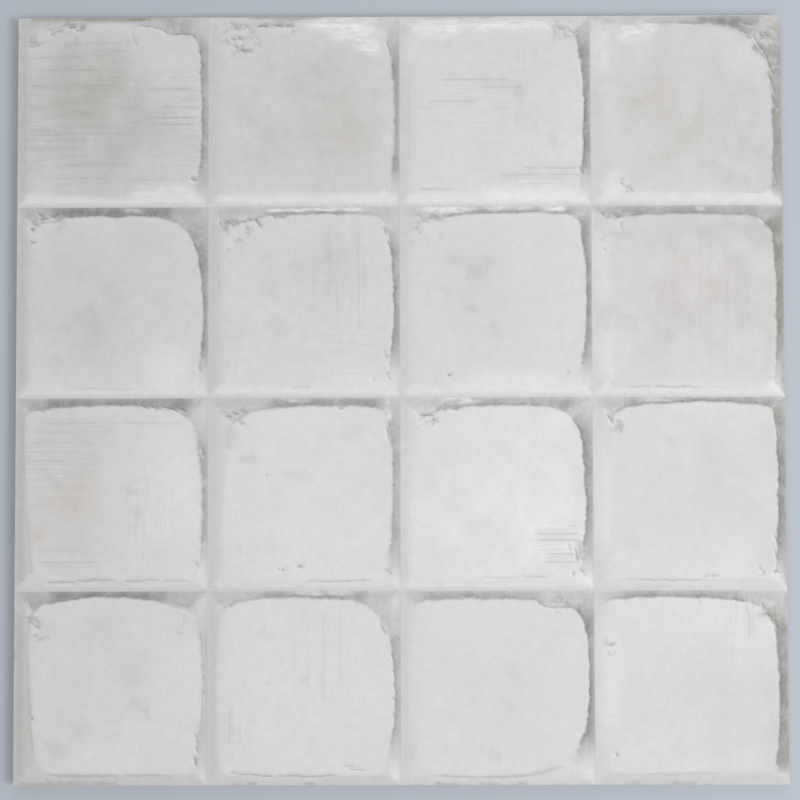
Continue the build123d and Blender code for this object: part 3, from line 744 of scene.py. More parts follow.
def score_depth(points, pad):
    """How deep in a drag line each point lies, 0 to 1."""
    depth = np.zeros(len(points))
    patchy = 0.75 + 0.35 * noise_b.at(points, 7, 2)
    for start, end, tone in score_lines(pad):
        run = end - start
        length = np.hypot(*run)
        t = (points - start) @ run / length
        across = np.abs((points - start) @ np.array([-run[1], run[0]]) / length)
        ends = smooth(0, 6, t) * smooth(length, length - 6, t)
        depth = np.maximum(depth, tone * smooth(0.8, 0.1, across) * ends * patchy)
    return depth


def crumbled(points, pad):
    """How far the glaze is crumbled away at each point, and how strongly a painted highlight marks a
    flake, 0 to 1.
    """
    amount = np.zeros(len(points))
    for x, y, reach, strength in pad.own(CRUMBS):
        gap = gaps_to(points, pad.at(x, y))
        amount = np.maximum(amount, strength * smooth(reach, 0.45 * reach, gap))
    lumps = noise_b.at(points, 3.6, 3, (1.4, 1))
    return amount * smooth(0.08, 0.42, lumps), amount * smooth(-0.05, -0.35, lumps)


def pit_depth(points, pad):
    depth = np.zeros(len(points))
    for x, y, radius in pad.own(PITS):
        gap = gaps_to(points, pad.at(x, y))
        depth = np.maximum(depth, smooth(1.6 * radius, 0.2 * radius, gap))
    return depth


class PointSet:
    """Gathers points and drops those too close to one gathered earlier."""

    CELL = 1.0

    def __init__(self):
        self.points = []
        self.bins = {}

    def crowded(self, x, y, clearance):
        column = math.floor(x / self.CELL)
        row = math.floor(y / self.CELL)
        reach = math.ceil(clearance / self.CELL)
        for i in range(column - reach, column + reach + 1):
            for j in range(row - reach, row + reach + 1):
                for px, py in self.bins.get((i, j), ()):
                    if (px - x) ** 2 + (py - y) ** 2 < clearance**2:
                        return True
        return False

    def add(self, points, clearance):
        for x, y in points:
            if not self.crowded(x, y, clearance):
                key = math.floor(x / self.CELL), math.floor(y / self.CELL)
                point = float(x), float(y)
                self.bins.setdefault(key, []).append(point)
                self.points.append(point)


# Spacing of the mesh's points. Rings follow the rim: inset, spacing where torn, where soft.
BORDER_STEPS = 64
NEAR_RINGS = [(0.0, 0.75, 1.6), (-0.4, 0.75, 1.6), (0.5, 0.75, 1.6), (-0.95, 0.9, 1.8), (1.2, 1.1, 1.8)]
FAR_RINGS = [(-1.8, 1.2, 2.0), (2.3, 1.6, 2.0), (-3.0, 1.6, 2.2), (3.8, 2.0, 2.4)]
INNER_SPACING = 2.6
OUTER_SPACING = 1.9
CRUMB_SPACING = 1.1
SCORE_SPACING = 1.5
NICK_SPACING = 1.1
MITRE_SPACING = 0.85
PIT_CORNERS = 6
BED_CLEAR = BED_HALF + 0.45


def inset_square(steps, inset):
    """Points along the four sides of a square drawn inset from the borders."""
    along = np.clip(steps, inset, PITCH - inset)
    near = np.full_like(steps, inset)
    far = np.full_like(steps, PITCH - inset)
    lines = ((along, near), (along, far), (near, along), (far, along))
    return [np.stack(line, axis=1) for line in lines]


def square_points(pad):
    """Plan points of one square, dense along its features."""
    low = pad.at(0, PITCH)
    gathered = PointSet()
    steps = np.arange(BORDER_STEPS + 1) * (PITCH / BORDER_STEPS)

    def add(points, clearance, from_border=BED_CLEAR):
        gathered.add(points[border_distance(points, pad) > from_border], clearance)

    def add_rings(rings, slack, clearance):
        for inset, torn, soft in rings:
            line = pad.ring(inset, torn, soft)
            add(line[np.abs(pad.measure(line)[0] - inset) < slack], clearance)

    def add_rows(start, end, past, spacing, fewest, offsets, clearance):
        run = end - start
        length = np.hypot(*run)
        t = np.linspace(-past, 1 + past, max(fewest, int(length / spacing)))
        across = np.array([-run[1], run[0]]) / length
        for offset in offsets:
            add(start + t[:, None] * run + across * offset, clearance)

    for line in inset_square(steps, 0):
        gathered.add(line + low, 0.01)
    for line in inset_square(steps, BED_HALF):
        gathered.add(line + low, 0.3)
    mitre = np.arange(BED_HALF + 0.8, SHOULDER_INSET + 0.1, MITRE_SPACING)
    for x in (mitre, PITCH - mitre):
        for y in (mitre, PITCH - mitre):
            line = np.stack([x, y], axis=1) + low
            gathered.add(line[pad.measure(line)[0] < -0.6], 0.3)

    add_rings(NEAR_RINGS, 0.2, 0.3)
    for start, end, _ in score_lines(pad):
        add_rows(start, end, 0, SCORE_SPACING, 2, (0.0, 0.6, -0.6), 0.4)
    for x0, y0, x1, y1, width, _ in pad.own(NICKS):
        offsets = (0.0, 0.5 * width, -0.5 * width, 1.3 * width, -1.3 * width)
        add_rows(pad.at(x0, y0), pad.at(x1, y1), 0.05, NICK_SPACING, 3, offsets, 0.35)
    for x, y, radius in pad.own(PITS):
        turn = np.arange(PIT_CORNERS) * (math.tau / PIT_CORNERS)
        ring = np.stack([np.cos(turn), np.sin(turn)], axis=1)
        middle = pad.at(x, y)
        add(np.vstack([middle, middle + ring * radius, middle + ring * radius * 1.7]), 0.25)
    for x, y, reach, _ in pad.own(CRUMBS):
        ticks = np.arange(-reach, reach, CRUMB_SPACING)
        patch = np.stack([axis.ravel() for axis in np.meshgrid(ticks, ticks)], axis=1)
        patch = patch[np.hypot(*patch.T) < 0.9 * reach]
        add(patch + pad.at(x, y), 0.6 * CRUMB_SPACING)
    add_rings(FAR_RINGS, 0.3, 0.55)
    for line in inset_square(steps, SHOULDER_INSET):
        line = line + low
        add(line[pad.measure(line)[0] < -0.8], 0.7)

    rng = np.random.default_rng(SEED + 10 * pad.row + pad.column)
    for spacing, on_pad in ((OUTER_SPACING, False), (INNER_SPACING, True)):
        ticks = np.arange(spacing / 2, PITCH, spacing)
        points = np.stack([axis.ravel() for axis in np.meshgrid(ticks, ticks)], axis=1)
        points += rng.uniform(-0.25, 0.25, points.shape) * spacing
        points += low
        inside = pad.measure(points)[0]
        points = points[(inside > 4.2) if on_pad else (inside < -1.2)]
        add(points, 0.62 * spacing, BED_HALF + 0.8)
    return np.array(gathered.points)


# Relief of the face: room kept under the highest level, depth of the features, rolled edges.
# Limits that smooth() sets on inside and border are distances from the rim and from the border.
FACE_DIP = 0.06
BEVEL_WAVE = 0.09
SCORE_DEEP = 0.1
PIT_DEEP = 0.3
CRUMB_DEEP = 0.3
NICK_DEEP = 0.3
DEEPEST = JOINT_LEVEL - 0.3
ROLL_RUN = 12.0
ROLL_POWER = 2.0


def heights(points, pad, inside, nearest):
    """Height of the face at the points of one square."""
    border = border_distance(points, pad)
    climb = (border - BED_HALF) * (BEVEL_RISE / BEVEL_RUN)
    base = JOINT_LEVEL + np.clip(climb, 0, BEVEL_RISE)
    base += BEVEL_WAVE * noise_a.at(points, 9, 3) * smooth(0.5, 2.0, border)
    tear = pad.tear[nearest]
    top = FACE - FACE_DIP
    shoulder = np.minimum(base, SHOULDER_LEVEL)

    rough = 0.2 * noise_b.at(points, 2.2, 2) + 0.12 * noise_c.at(points, 5, 2)
    cliff = 0.8 * smooth(-0.9, 0.05, inside) + 0.2 * smooth(-0.2, 0.8, inside)
    torn = shoulder + (top - shoulder) * cliff
    torn = torn + rough * smooth(-1.8, -0.5, inside) * smooth(0.9, 0.0, inside)
    torn = np.where(inside > -1.8, np.maximum(base, torn), base)

    roll = 0.35 * smooth(-0.9, 0.4, inside) + 0.65 * smooth(-1.4, 4.2, inside)
    rolled = shoulder + (top - shoulder) * roll
    rise = np.clip((border - BED_HALF) / ROLL_RUN, 0, 1)
    pillow = JOINT_LEVEL + (top - JOINT_LEVEL) * (1 - (1 - rise) ** ROLL_POWER)
    left, lower, _, _ = mitred_shares(points, pad).T
    wash_left, wash_lower = WASHES[pad.row][pad.column]
    crease = smooth(0.35, 0.85, wash_left) * left + (0.35 + 0.5 * smooth(0.3, 0.8, wash_lower)) * lower
    soft = pillow + (np.maximum(base, rolled) - pillow) * crease

    level = soft + (torn - soft) * tear
    swell = 0.1 * (noise_d.at(points, 34, 2) - 1) + 0.035 * (noise_c.at(points, 9, 2) - 1)
    level += swell * smooth(0.5, 6, inside)
    level -= SCORE_DEEP * score_depth(points, pad) * smooth(-0.5, 0.5, inside)
    level -= PIT_DEEP * pit_depth(points, pad)
    clear = smooth(BED_HALF, BED_HALF + 1, border)
    level -= CRUMB_DEEP * crumbled(points, pad)[0] * clear
    level -= NICK_DEEP * strokes(NICKS, points, pad) * clear
    return np.clip(level, DEEPEST, FACE)


# How strongly each feature tints the glaze
LINE_TINT = 0.62
PIT_TINT = 0.5
CRUMB_TINT = 0.6
FLAKE_HIGHLIGHT_TINT = 0.4
WASH_TINT = 0.9
BED_TINT = 0.7
NICK_TINT = 0.58
SHADED_NICK_TINT = 0.35
NICK_GLINT = 0.5
NICK_SHADE = np.array([0.5, 0.7])
DARK_UPPER = 0.58
DARK_RIGHT = 0.32
TOOTH_TINT = 0.45


def stained(points, pad):
    """Glaze with its clouds of stain, the pale clouds partly painted light, and the smudges wiped over
    it.
    """
    colour = np.tile(GLAZE, (len(points), 1))
    patchy = 0.85 + 0.7 * noise_b.at(points, 15, 4)
    for x, y, reach_x, reach_y, stain, strength in pad.own(STAINS):
        offset = (points - pad.at(x, y)) / np.array([reach_x, reach_y])
        near = np.exp(-(offset**2).sum(axis=1))
        colour = mix(colour, stain, np.clip(strength * near * patchy, 0, 1))
    cloud = 0.03 * noise_a.at(points, 42, 3) + 0.02 * noise_c.at(points, 7, 3)
    colour = colour * (1 + cloud)[:, None]
    return mix(colour, SMOKE, strokes(WISPS, points, pad, 1.6))


def tones(points, pad, inside, nearest):
    """Linear colour of the glaze at the points of one square, with its painted light and shade, how
    torn it is, and how glossy and painted with glints it is there.
    """
    border = border_distance(points, pad)
    tear = pad.tear[nearest]
    left, lower, right, upper = mitred_shares(points, pad).T
    colour = stained(points, pad)

    # Bevels on the left and below painted paler as the sides the light falls on, some dulled by a wash,
    # and painted sheen
    loose = 3.5 * (1 - tear)
    outside = smooth(1.0 + loose, -0.4 - loose, inside + 0.4 * noise_c.at(points, 2.4, 2))
    wander = noise_d.at(points, 11, 3)
    soft_outside = smooth(2.0, -2.4, inside + 1.2 * wander) * (1 - tear)
    patchy = np.clip(0.92 + 0.25 * noise_d.at(points, 16, 2), 0, 1)
    wash_left, wash_lower = WASHES[pad.row][pad.column]
    spread = 5.0 - 4.0 * smooth(0.55, 0.9, np.array(wash_left))
    washed = smooth(spread, -spread, inside + 1.5 * wander) * (1 - tear)
    colour = mix(colour, LIT_BEVEL_TONE, 0.6 * (1 - wash_left) * left * smooth(8, 1, border) * (1 - tear))
    colour = mix(colour, WASH, WASH_TINT * wash_left * patchy * left * washed)
    colour = mix(colour, LIT_BEVEL_TONE, (1 - wash_lower) * patchy * lower * soft_outside)
    colour = mix(colour, WASH, WASH_TINT * wash_lower * patchy * lower * soft_outside)
    colour = mix(colour, WASH, 0.5 * lower * smooth(2.6, 0.8, border))
    colour = mix(colour, HIGHLIGHT_TINT, strokes(SHEEN, points, pad, 1.5, True))

    # Painted shade dulling the bevels on the right and above, fading towards the ends of the right side
    (upper_dull, *_), (right_dull, right_start, right_end, _) = EDGE_TONES[pad.row][pad.column]
    at_border = pad.column == GRID - 1
    outer_right = right if at_border else np.zeros(len(points))
    right_tone = SHADE_OLIVE if at_border else SHADE_RIGHT
    facing = 0.25 + 0.75 * pad.facing_right[nearest]
    blotchy = np.clip(0.88 + 0.4 * noise_c.at(points, 7, 3), 0, 1)
    down = HALF - pad.row * PITCH - points[:, 1]
    ends = 0.4 + 0.6 * smooth(right_start - 16, right_start + 12, down)
    ends *= 0.2 + 0.8 * smooth(right_end + 16, right_end - 12, down)
    ends = np.maximum(ends, 0.75 * outer_right * smooth(4.5, 1.0, border))
    colour = mix(colour, SHADE_DULL, upper_dull * upper * outside * blotchy)
    colour = mix(colour, right_tone, right_dull * right * outside * blotchy * ends * facing)

    # Painted shadow under the rim, and dark teeth along the rim that the painted shadow deepens
    dark_upper, dark_right = pad.darkness[nearest].T
    dark_right = dark_right * facing
    level = smooth(0.2, 0.7, dark_upper) * upper
    reach = 2.4 * upper + 1.7 * np.maximum(right, 0.05)
    fade = level + (1 - level) * np.exp(np.minimum(inside + 0.3, 0) / reach)
    combed = np.clip(0.88 + 0.5 * pad.comb[nearest] + 0.3 * noise_b.at(points, 4.5, 2), 0, 1.15)
    dark = DARK_UPPER * upper * dark_upper + DARK_RIGHT * right * ends * dark_right
    dark *= fade * combed * outside * smooth(-0.4, 0.6, border)
    dark *= 1 - 0.4 * upper * smooth(-1.6, 0.0, inside)
    colour = mix(colour, RIM_SHADOW_DARK, np.clip(dark, 0, 1))
    bitten = pad.teeth[nearest] * np.exp(-(((inside + 0.4) / 0.9) ** 2)) * (right + 0.6 * upper) * tear
    shaded = np.clip(0.3 + np.maximum(dark_upper, dark_right), 0, 1)
    colour = mix(colour, NICK_DARK, TOOTH_TINT * bitten * shaded)

    # Drag lines, pits, crumbled patches, joint bed, breaks and nicks
    on_pad = smooth(-0.6, 0.6, inside)
    colour = mix(colour, LINE_DARK, LINE_TINT * score_depth(points, pad) * (0.5 + 0.5 * on_pad))
    colour = mix(colour, PIT_DARK, PIT_TINT * pit_depth(points, pad))
    crumbs, flake_highlights = crumbled(points, pad)
    # Crumbled patches dulled, partly painted shade, with painted highlights on their flakes
    colour = mix(colour, SHADE_DULL, CRUMB_TINT * crumbs)
    colour = mix(colour, HIGHLIGHT_TINT, FLAKE_HIGHLIGHT_TINT * flake_highlights * (0.3 + 0.7 * outside))
    bed = (1 - outer_right) * (1 - 0.85 * right - 0.75 * upper * smooth(0.4, 0.8, np.array(upper_dull)))
    colour = mix(colour, JOINT_BED, BED_TINT * bed * smooth(BED_HALF + 0.4, 0.1, border))
    colour = mix(colour, SCAR, strokes(SCARS, points, pad))
    # Nicks: painted shade on the side turned from the light, a painted glint on the side facing it
    colour = mix(colour, SHADE_DULL, SHADED_NICK_TINT * strokes(NICKS, points - NICK_SHADE, pad, 2.0))
    colour = mix(colour, HIGHLIGHT_TINT, NICK_GLINT * strokes(NICKS, points + NICK_SHADE, pad, 1.5))
    colour = mix(colour, NICK_DARK, NICK_TINT * strokes(NICKS, points, pad))

    rough_right = right * right_dull**2 * ends * facing
    torn = outside * np.clip(rough_right + upper * np.maximum(dark_upper, 0.5 * tear), 0, 1)
    torn = np.maximum(torn, crumbs) * smooth(0.3, 1.2, border)
    # Glossy strokes and the lower bevels: a glossier glaze with painted glints
    gloss_and_glint = strokes(GLOSSY_GLINTS, points, pad, 1.4, True)
    gloss_and_glint = np.maximum(gloss_and_glint, 0.2 * lower * soft_outside * (1 - wash_lower))
    return colour, torn, gloss_and_glint


def brushing(points, pad):
    """Strength of the brushed streaks at the points of one square, across and down."""
    strength = np.zeros((len(points), 2))
    for x, y, reach_x, reach_y, across, down in pad.own(BRUSHED):
        offset = (points - pad.at(x, y)) / np.array([reach_x, reach_y])
        near = smooth(1.0, 0.3, np.hypot(*offset.T))
        strength = np.maximum(strength, near[:, None] * np.array([across, down]))
    return strength


def new_object(name, data):
    item = bpy.data.objects.new(name, data)
    bpy.context.scene.collection.objects.link(item)
    return item


GLAZED, RAW = 0, 1
# Attributes of the glaze: brushed streaks, torn breaks, and glossy places painted with glints
GLAZE_MARKS = ("brushed_across", "brushed_down", "torn", "gloss_and_glint")


class MeshBuilder:
    """Collects vertices that may be shared, faces and their materials."""

    def __init__(self):
        self.places = []
        self.colours = []
        self.wear = []
        self.known = {}
        self.faces = []
        self.slots = []

    def vertex(self, x, y, z, colour, key=None, wear=(0.0,) * len(GLAZE_MARKS)):
        if key is not None and key in self.known:
            return self.known[key]
        self.places.append((x, y, z))
        self.colours.append(tuple(colour))
        self.wear.append(tuple(wear))
        if key is not None:
            self.known[key] = len(self.places) - 1
        return len(self.places) - 1

    def face(self, corners, slot):
        if len(set(corners)) == len(corners):
            self.faces.append(corners)
            self.slots.append(slot)


# Outer edges of the tile: how near a point counts as on a border, and the levels down the edge
ON_BORDER = 1e-4
RIM_DROP = 0.05
RIM_NICK = 0.5
EDGE_LEVEL = JOINT_LEVEL - 0.7
GLAZE_END = JOINT_LEVEL - 1.6


def add_face(builder):
    """The glazed face, square by square; neighbours share the vertices of their border."""
    outer = {}
    for pad in pads.values():
        plan = [Vector(point) for point in square_points(pad)]
        flat, _, triangles, *_ = delaunay_2d_cdt(plan, [], [], 0, 1e-5)
        points = np.array([tuple(v) for v in flat])
        inside, nearest = pad.measure(points)
        level = heights(points, pad, inside, nearest)
        colour, torn, gloss_and_glint = tones(points, pad, inside, nearest)
        wear = np.column_stack([brushing(points, pad), torn, gloss_and_glint])
        border = border_distance(points, pad)
        numbers = []
        for (x, y), z, tone, gap, worn in zip(points, level, colour, border, wear):
            key = (round(x, 3), round(y, 3)) if gap < ON_BORDER else None
            rim = max(abs(x), abs(y)) > HALF - ON_BORDER
            if rim:
                nick = abs(noise_b.at(np.array([[x, y]]), 5, 3)[0]) ** 2
                z = JOINT_LEVEL - RIM_DROP - RIM_NICK * nick
                tone = tone * (1 - 0.35 * nick)
                if y < 0.5 - HALF:
                    tone = tone + (BISCUIT - tone) * smooth(0.02, 0.3, nick)
            numbers.append(builder.vertex(x, y, z, tone, key, worn))
            if rim:
                outer[key] = numbers[-1]
        for triangle in triangles:
            corners = [numbers[k] for k in triangle]
            (ax, ay, _), (bx, by, _), (cx, cy, _) = [builder.places[k] for k in corners]
            if (bx - ax) * (cy - ay) - (by - ay) * (cx - ax) < 0:
                corners.reverse()
            builder.face(corners, GLAZED)
    return outer


def loop_order(x, y):
    """Position of an outline point counter-clockwise round the tile, from the lower left corner."""
    edge = HALF - 1e-3
    if y <= -edge and x < edge:
        return x + HALF
    if x >= edge and y < edge:
        return TILE + y + HALF
    if y >= edge and x > -edge:
        return 2 * TILE + HALF - x
    return 3 * TILE + HALF - y


def add_sides(builder, outer):
    """Edges of the tile, glazed down to an uneven line; returns the lowest loop."""
    upper = sorted(outer.values(), key=lambda k: loop_order(*builder.places[k][:2]))
    edges = ((EDGE_LEVEL, GLAZE, GLAZED), (GLAZE_END, GLAZE, GLAZED), (BACK_CHAMFER, BISCUIT, RAW))
    for level, tone, slot in edges:
        lower = []
        for k in upper:
            x, y, _ = builder.places[k]
            sag = 0.0
            if level == GLAZE_END:
                sag = 0.5 * noise_c.at(np.array([[x + 3 * y, y]]), 8, 2)[0]
            lower.append(builder.vertex(x, y, level + sag, tone))
        for corners in zip(upper, lower, lower[1:] + lower[:1], upper[1:] + upper[:1]):
            builder.face(corners, slot)
        upper = lower
    return upper


def add_back(builder):
    """The keyed back; returns its outline."""
    span = TILE - 2 * BACK_BORDER
    step = (span + RIB_WIDTH) / KEY_COUNT
    lines = [-HALF + BACK_CHAMFER]
    floors = set()
    for number in range(KEY_COUNT):
        low = -HALF + BACK_BORDER + number * step
        high = low + step - RIB_WIDTH
        floors.update((len(lines) + 1, len(lines) + 2))
        lines += [low, low + KEY_DRAFT, high - KEY_DRAFT, high]
    lines.append(HALF - BACK_CHAMFER)
    grid = {}
    for i, x in enumerate(lines):
        for j, y in enumerate(lines):
            z = KEY_DEPTH if i in floors and j in floors else 0.0
            grid[i, j] = builder.vertex(x, y, z, BISCUIT)
    last = len(lines) - 1
    for i in range(last):
        for j in range(last):
            keys = [(i, j), (i, j + 1), (i + 1, j + 1), (i + 1, j)]
            sunk = [k for k, (a, b) in enumerate(keys) if a in floors and b in floors]
            quad = [grid[key] for key in keys]
            if len(sunk) == 1:
                turn = sunk[0]
                quad = quad[turn:] + quad[:turn]
                builder.face(quad[:3], RAW)
                builder.face([quad[0], *quad[2:]], RAW)
            else:
                builder.face(quad, RAW)
    outline = [(k, 0) for k in range(last)] + [(last, k) for k in range(last)]
    outline += [(last - k, last) for k in range(last)] + [(0, last - k) for k in range(last)]
    return [grid[key] for key in outline]


def stitch(builder, above, below):
    """Closes the strip between two loops that run the same way round."""
    def share(k):
        x, y, _ = builder.places[k]
        most = max(abs(x), abs(y))
        return loop_order(x * HALF / most, y * HALF / most) / (4 * TILE)

    a_share = [share(k) for k in above] + [1.0]
    b_share = [share(k) for k in below] + [1.0]
    a = b = 0
    while a < len(above) or b < len(below):
        corners = [above[a % len(above)], below[b % len(below)]]
        if b >= len(below) or (a < len(above) and a_share[a + 1] <= b_share[b + 1]):
            a += 1
            corners.append(above[a % len(above)])
        else:
            b += 1
            corners.append(below[b % len(below)])
        builder.face(corners, RAW)


def make_tile():
    builder = MeshBuilder()
    outer = add_face(builder)
    stitch(builder, add_sides(builder, outer), add_back(builder))
    mesh = bpy.data.meshes.new("glazed_tile")
    mesh.from_pydata([(x * MM, y * MM, z * MM) for x, y, z in builder.places], [], builder.faces)
    mesh.polygons.foreach_set("material_index", builder.slots)
    tone = mesh.color_attributes.new("tone", "FLOAT_COLOR", "POINT")
    tone.data.foreach_set("color", [v for c in builder.colours for v in (*c, 1.0)])
    for number, name in enumerate(GLAZE_MARKS):
        attribute = mesh.attributes.new(name, "FLOAT", "POINT")
        attribute.data.foreach_set("value", [wear[number] for wear in builder.wear])
    mesh.shade_smooth()
    mesh.set_sharp_from_angle(angle=math.radians(SHARP_ANGLE))
    tile = new_object("glazed_tile", mesh)
    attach(tile, "root")
    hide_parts("wall_tile")
    return tile


class Nodes:
    """Short hand for building a node tree."""

    def __init__(self, tree):
        self.tree = tree

    def new(self, kind, **values):
        node = self.tree.nodes.new(kind)
        for name, value in values.items():
            setattr(node, name, value)
        return node

    def link(self, source, target):
        self.tree.links.new(source, target)

    def fill(self, socket, value):
        """Gives a socket a number, a vector, a colour or a link."""
        if isinstance(value, (int, float, tuple)):
            socket.default_value = value
        elif isinstance(value, np.ndarray):
            socket.default_value = (*[float(v) for v in value], 1.0)
        else:
            self.link(value, socket)

    def fill_all(self, node, values):
        for name, value in values.items():
            self.fill(node.inputs[name], value)

    def math(self, operation, *values):
        node = self.new("ShaderNodeMath", operation=operation)
        for socket, value in zip(node.inputs, values):
            self.fill(socket, value)
        return node.outputs[0]

    def add(self, first, second):
        return self.math("ADD", first, second)

    def times(self, first, second):
        return self.math("MULTIPLY", first, second)

    def ramp(self, value, low, high, out_low=0.0, out_high=1.0):
        node = self.new("ShaderNodeMapRange", interpolation_type="SMOOTHSTEP")
        limits = {"From Min": low, "From Max": high, "To Min": out_low, "To Max": out_high}
        self.fill_all(node, {"Value": value, **limits})
        return node.outputs["Result"]

    def noise(self, vector, scale, detail=3.0, roughness=0.55):
        node = self.new("ShaderNodeTexNoise")
        lumps = {"Scale": scale, "Detail": detail, "Roughness": roughness}
        self.fill_all(node, {"Vector": vector, **lumps})
        return node.outputs["Fac"]

    def stretched_noise(self, vector, scales, detail, roughness):
        node = self.new("ShaderNodeVectorMath", operation="MULTIPLY")
        self.link(vector, node.inputs[0])
        self.fill(node.inputs[1], scales)
        return self.noise(node.outputs[0], 1.0, detail, roughness)

    def attribute(self, name):
        return self.new("ShaderNodeAttribute", attribute_name=name).outputs["Fac"]

    def blend(self, kind, factor, first, second):
        node = self.new("ShaderNodeMix", data_type="RGBA", blend_type=kind)
        for name, value in (("Factor", factor), ("A", first), ("B", second)):
            sockets = [s for s in node.inputs if s.name == name and s.enabled]
            self.fill(sockets[0], value)
        return [s for s in node.outputs if s.enabled][0]

    def bump(self, shader, height, strength, distance):
        node = self.new("ShaderNodeBump")
        self.fill_all(node, {"Strength": strength, "Distance": distance * MM, "Height": height})
        self.link(node.outputs["Normal"], shader.inputs["Normal"])


def new_material(name):
    material = bpy.data.materials.new(name)
    material.use_nodes = True
    tree = material.node_tree
    return material, Nodes(tree), tree.nodes["Principled BSDF"]


# Patterns of the glaze, in lumps per metre; streaks and feathers have one scale for each axis
GRAIN_SCALE = 900.0
MOTTLE_SCALE = 210.0
FIBRE_SCALE = 620.0
RELIEF_SCALES = (420.0, 130.0)
STREAK_SCALES = {"brushed_across": (24.0, 520.0, 1.0), "brushed_down": (520.0, 24.0, 1.0)}
FEATHER_SCALES = (110.0, 420.0, 1.0)
GRAIN_TONE = 0.035
GLAZE_IOR = 1.55
FIBRE_RELIEF = -3.0

# Bumps: strength, and height in millimetres
GLAZE_BUMP = (0.1, 0.12)
BISCUIT_BUMP = (0.4, 0.15)

# Thin line along the middle of every joint, and a fainter one beside it
SECOND_LINE = 1.5
LINE_FADE = (HALF - 2.5, HALF - 1.5)

# Bare biscuit of the back and the lower edges
BISCUIT_CLOUD = srgb(196, 176, 156)
BISCUIT_ROUGH = 0.85
BISCUIT_GRAIN = 700.0
BISCUIT_CLOUDS = 22.0


def joint_lines(nodes, position):
    """How strong the joint lines are at a place."""
    split = nodes.new("ShaderNodeSeparateXYZ")
    nodes.link(position, split.inputs[0])
    gaps = []
    for axis in (0, 1):
        shifted = nodes.add(split.outputs[axis], HALF * MM)
        gaps.append(nodes.math("PINGPONG", shifted, PITCH / 2 * MM))
    gap = nodes.math("MINIMUM", *gaps)
    first = nodes.ramp(gap, 0.1 * MM, 0.9 * MM, 0.4, 0.0)
    beside = nodes.math("ABSOLUTE", nodes.math("SUBTRACT", gap, SECOND_LINE * MM))
    second = nodes.ramp(beside, 0.1 * MM, 0.5 * MM, 0.16, 0.0)
    low, high = LINE_FADE
    seen = nodes.ramp(split.outputs[2], 6.6 * MM, 7.2 * MM)
    seen = nodes.times(seen, nodes.ramp(split.outputs[0], low * MM, high * MM, 1.0, 0.0))
    return nodes.times(nodes.math("MAXIMUM", first, second), seen)


def glaze_material():
    material, nodes, shader = new_material("glaze")
    position = nodes.new("ShaderNodeTexCoord").outputs["Object"]
    tone = nodes.new("ShaderNodeVertexColor", layer_name="tone").outputs["Color"]
    torn = nodes.attribute("torn")
    gloss_and_glint = nodes.attribute("gloss_and_glint")

    grain = nodes.noise(position, GRAIN_SCALE, 2.0)
    mottle = nodes.noise(position, MOTTLE_SCALE, 4.0, 0.6)
    fibre = nodes.noise(position, FIBRE_SCALE, 4.0, 0.7)
    grain, clouded = [nodes.ramp(v, 0.2, 0.8, -GRAIN_TONE, GRAIN_TONE) for v in (grain, mottle)]
    shade = nodes.add(grain, clouded)
    for name, scales in STREAK_SCALES.items():
        streaks = nodes.stretched_noise(position, scales, 3.0, 0.6)
        streaks = nodes.ramp(streaks, 0.38, 0.66, 0.02, -0.07)
        shade = nodes.add(shade, nodes.times(streaks, nodes.attribute(name)))
    shade = nodes.add(shade, nodes.times(nodes.ramp(fibre, 0.36, 0.66, 0.08, -0.17), torn))
    shade = nodes.add(shade, 1.0)
    combine = nodes.new("ShaderNodeCombineColor")
    for socket in combine.inputs:
        nodes.link(shade, socket)
    colour = nodes.blend("MULTIPLY", 1.0, tone, combine.outputs[0])
    feather = nodes.stretched_noise(position, FEATHER_SCALES, 4.0, 0.65)
    feather = nodes.ramp(feather, 0.3, 0.68, 0.15, 1.0)
    # Painted highlights: white glints along the glossy strokes
    colour = nodes.blend("MIX", nodes.times(feather, gloss_and_glint), colour, GLINT_COLOUR)
    colour = nodes.blend("MIX", joint_lines(nodes, position), colour, JOINT_LINE)

    rough = nodes.add(nodes.ramp(mottle, 0.3, 0.7, 0.38, 0.45), nodes.times(torn, 0.3))
    rough = nodes.math("SUBTRACT", rough, nodes.times(gloss_and_glint, 0.25))
    nodes.fill_all(shader, {"Base Color": colour, "Roughness": rough, "IOR": GLAZE_IOR})
    fine, broad = RELIEF_SCALES
    relief = nodes.add(nodes.noise(position, fine, 4.0, 0.6), nodes.noise(position, broad, 2.0))
    relief = nodes.add(relief, nodes.times(nodes.times(fibre, torn), FIBRE_RELIEF))
    nodes.bump(shader, relief, *GLAZE_BUMP)
    return material


def biscuit_material():
    material, nodes, shader = new_material("biscuit")
    position = nodes.new("ShaderNodeTexCoord").outputs["Object"]
    grain = nodes.noise(position, BISCUIT_GRAIN, 5.0, 0.65)
    cloud = nodes.ramp(nodes.noise(position, BISCUIT_CLOUDS, 3.0), 0.35, 0.7, 0.0, 0.35)
    colour = nodes.blend("MIX", nodes.ramp(grain, 0.3, 0.7), BISCUIT * 0.9, BISCUIT * 1.05)
    colour = nodes.blend("MIX", cloud, colour, BISCUIT_CLOUD)
    nodes.fill_all(shader, {"Base Color": colour, "Roughness": BISCUIT_ROUGH})
    nodes.bump(shader, grain, *BISCUIT_BUMP)
    return material


# Floor, lights and camera
FLOOR_COLOUR = srgb(186, 194, 204)
FLOOR_ROUGH = 0.9
FLOOR_GLOSS = 0.1
FLOOR_SIZE = 8.0
WORLD_LEVEL = 0.42
LAMPS = [
    # name, place in metres, size in metres, power in watts
    ("key_softbox", (1.0, -0.25, 1.25), (0.6, 0.6), 10.3),
    ("overhead_softbox", (0.1, -0.45, 1.6), (1.6, 1.6), 6.3),
    ("upper_strip", (0.05, 0.95, 1.0), (1.2, 0.14), 2.0),
]
LENS = 65.0
SENSOR = 36.0
CAMERA_ELEVATION = 87.809
CAMERA_AZIMUTH = 8.354
CAMERA_ROLL = -0.161
CAMERA_DISTANCE = 830.2
CAMERA_TARGET = (0.13, -1.7, JOINT_LEVEL)


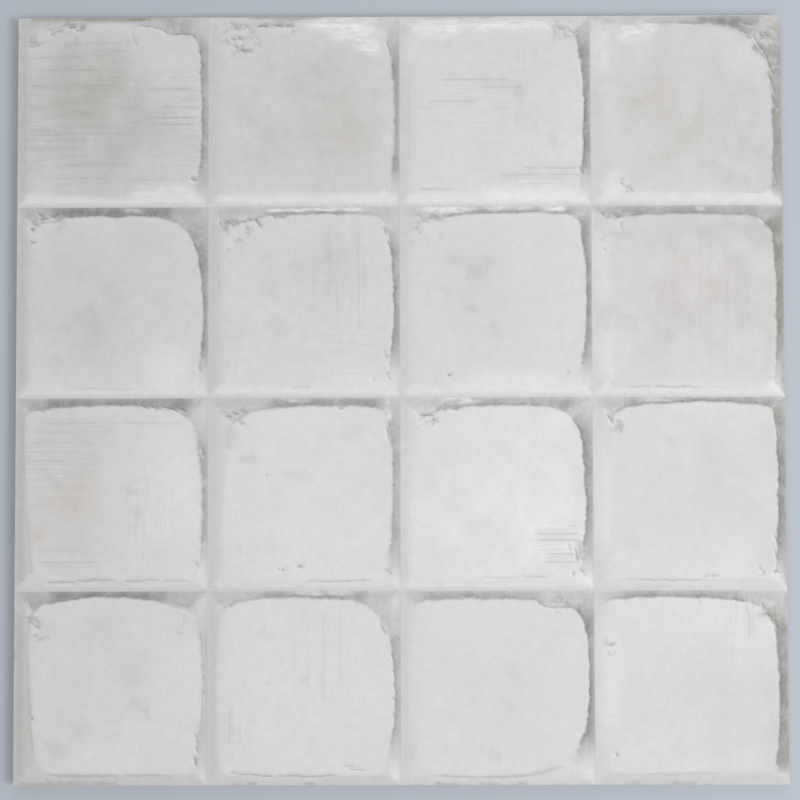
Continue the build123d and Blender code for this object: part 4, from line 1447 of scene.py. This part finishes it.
def make_stage():
    floor_mesh = bpy.data.meshes.new("floor")
    reach = FLOOR_SIZE / 2
    corners = [(-reach, -reach, 0), (reach, -reach, 0), (reach, reach, 0), (-reach, reach, 0)]
    floor_mesh.from_pydata(corners, [], [(0, 1, 2, 3)])
    floor = new_object("floor", floor_mesh)
    material, nodes, shader = new_material("floor")
    looks = {"Base Color": FLOOR_COLOUR, "Roughness": FLOOR_ROUGH, "Specular IOR Level": FLOOR_GLOSS}
    nodes.fill_all(shader, looks)
    floor_mesh.materials.append(material)

    world = bpy.data.worlds.new("studio")
    world.use_nodes = True
    sky = world.node_tree.nodes["Background"]
    sky.inputs["Color"].default_value = (1.0, 1.0, 1.0, 1.0)
    sky.inputs["Strength"].default_value = WORLD_LEVEL
    bpy.context.scene.world = world

    for name, spot, size, power in LAMPS:
        light = bpy.data.lights.new(name, "AREA")
        light.shape = "RECTANGLE"
        light.size, light.size_y = size
        light.energy = power
        lamp = new_object(name, light)
        lamp.location = spot
        lamp.rotation_euler = (-Vector(spot)).to_track_quat("-Z", "Y").to_euler()


def make_camera():
    elevation = math.radians(CAMERA_ELEVATION)
    azimuth = math.radians(CAMERA_AZIMUTH)
    roll = math.radians(CAMERA_ROLL)
    back = Vector((
        math.sin(azimuth) * math.cos(elevation),
        -math.cos(azimuth) * math.cos(elevation),
        math.sin(elevation),
    ))
    level = (-back).cross(Vector((0, 1, 0))).normalized()
    upright = level.cross(-back)
    right = math.cos(roll) * level + math.sin(roll) * upright
    up = math.cos(roll) * upright - math.sin(roll) * level
    data = bpy.data.cameras.new("camera")
    data.lens = LENS
    data.sensor_width = SENSOR
    camera = new_object("camera", data)
    turn = Matrix((right, up, back)).transposed().to_4x4()
    spot = Vector(CAMERA_TARGET) * MM + back * CAMERA_DISTANCE * MM
    camera.matrix_world = Matrix.Translation(spot) @ turn
    bpy.context.scene.camera = camera


tile = make_tile()
tile.data.materials.append(glaze_material())
tile.data.materials.append(biscuit_material())
make_stage()
make_camera()
bpy.context.scene.view_settings.view_transform = "Standard"
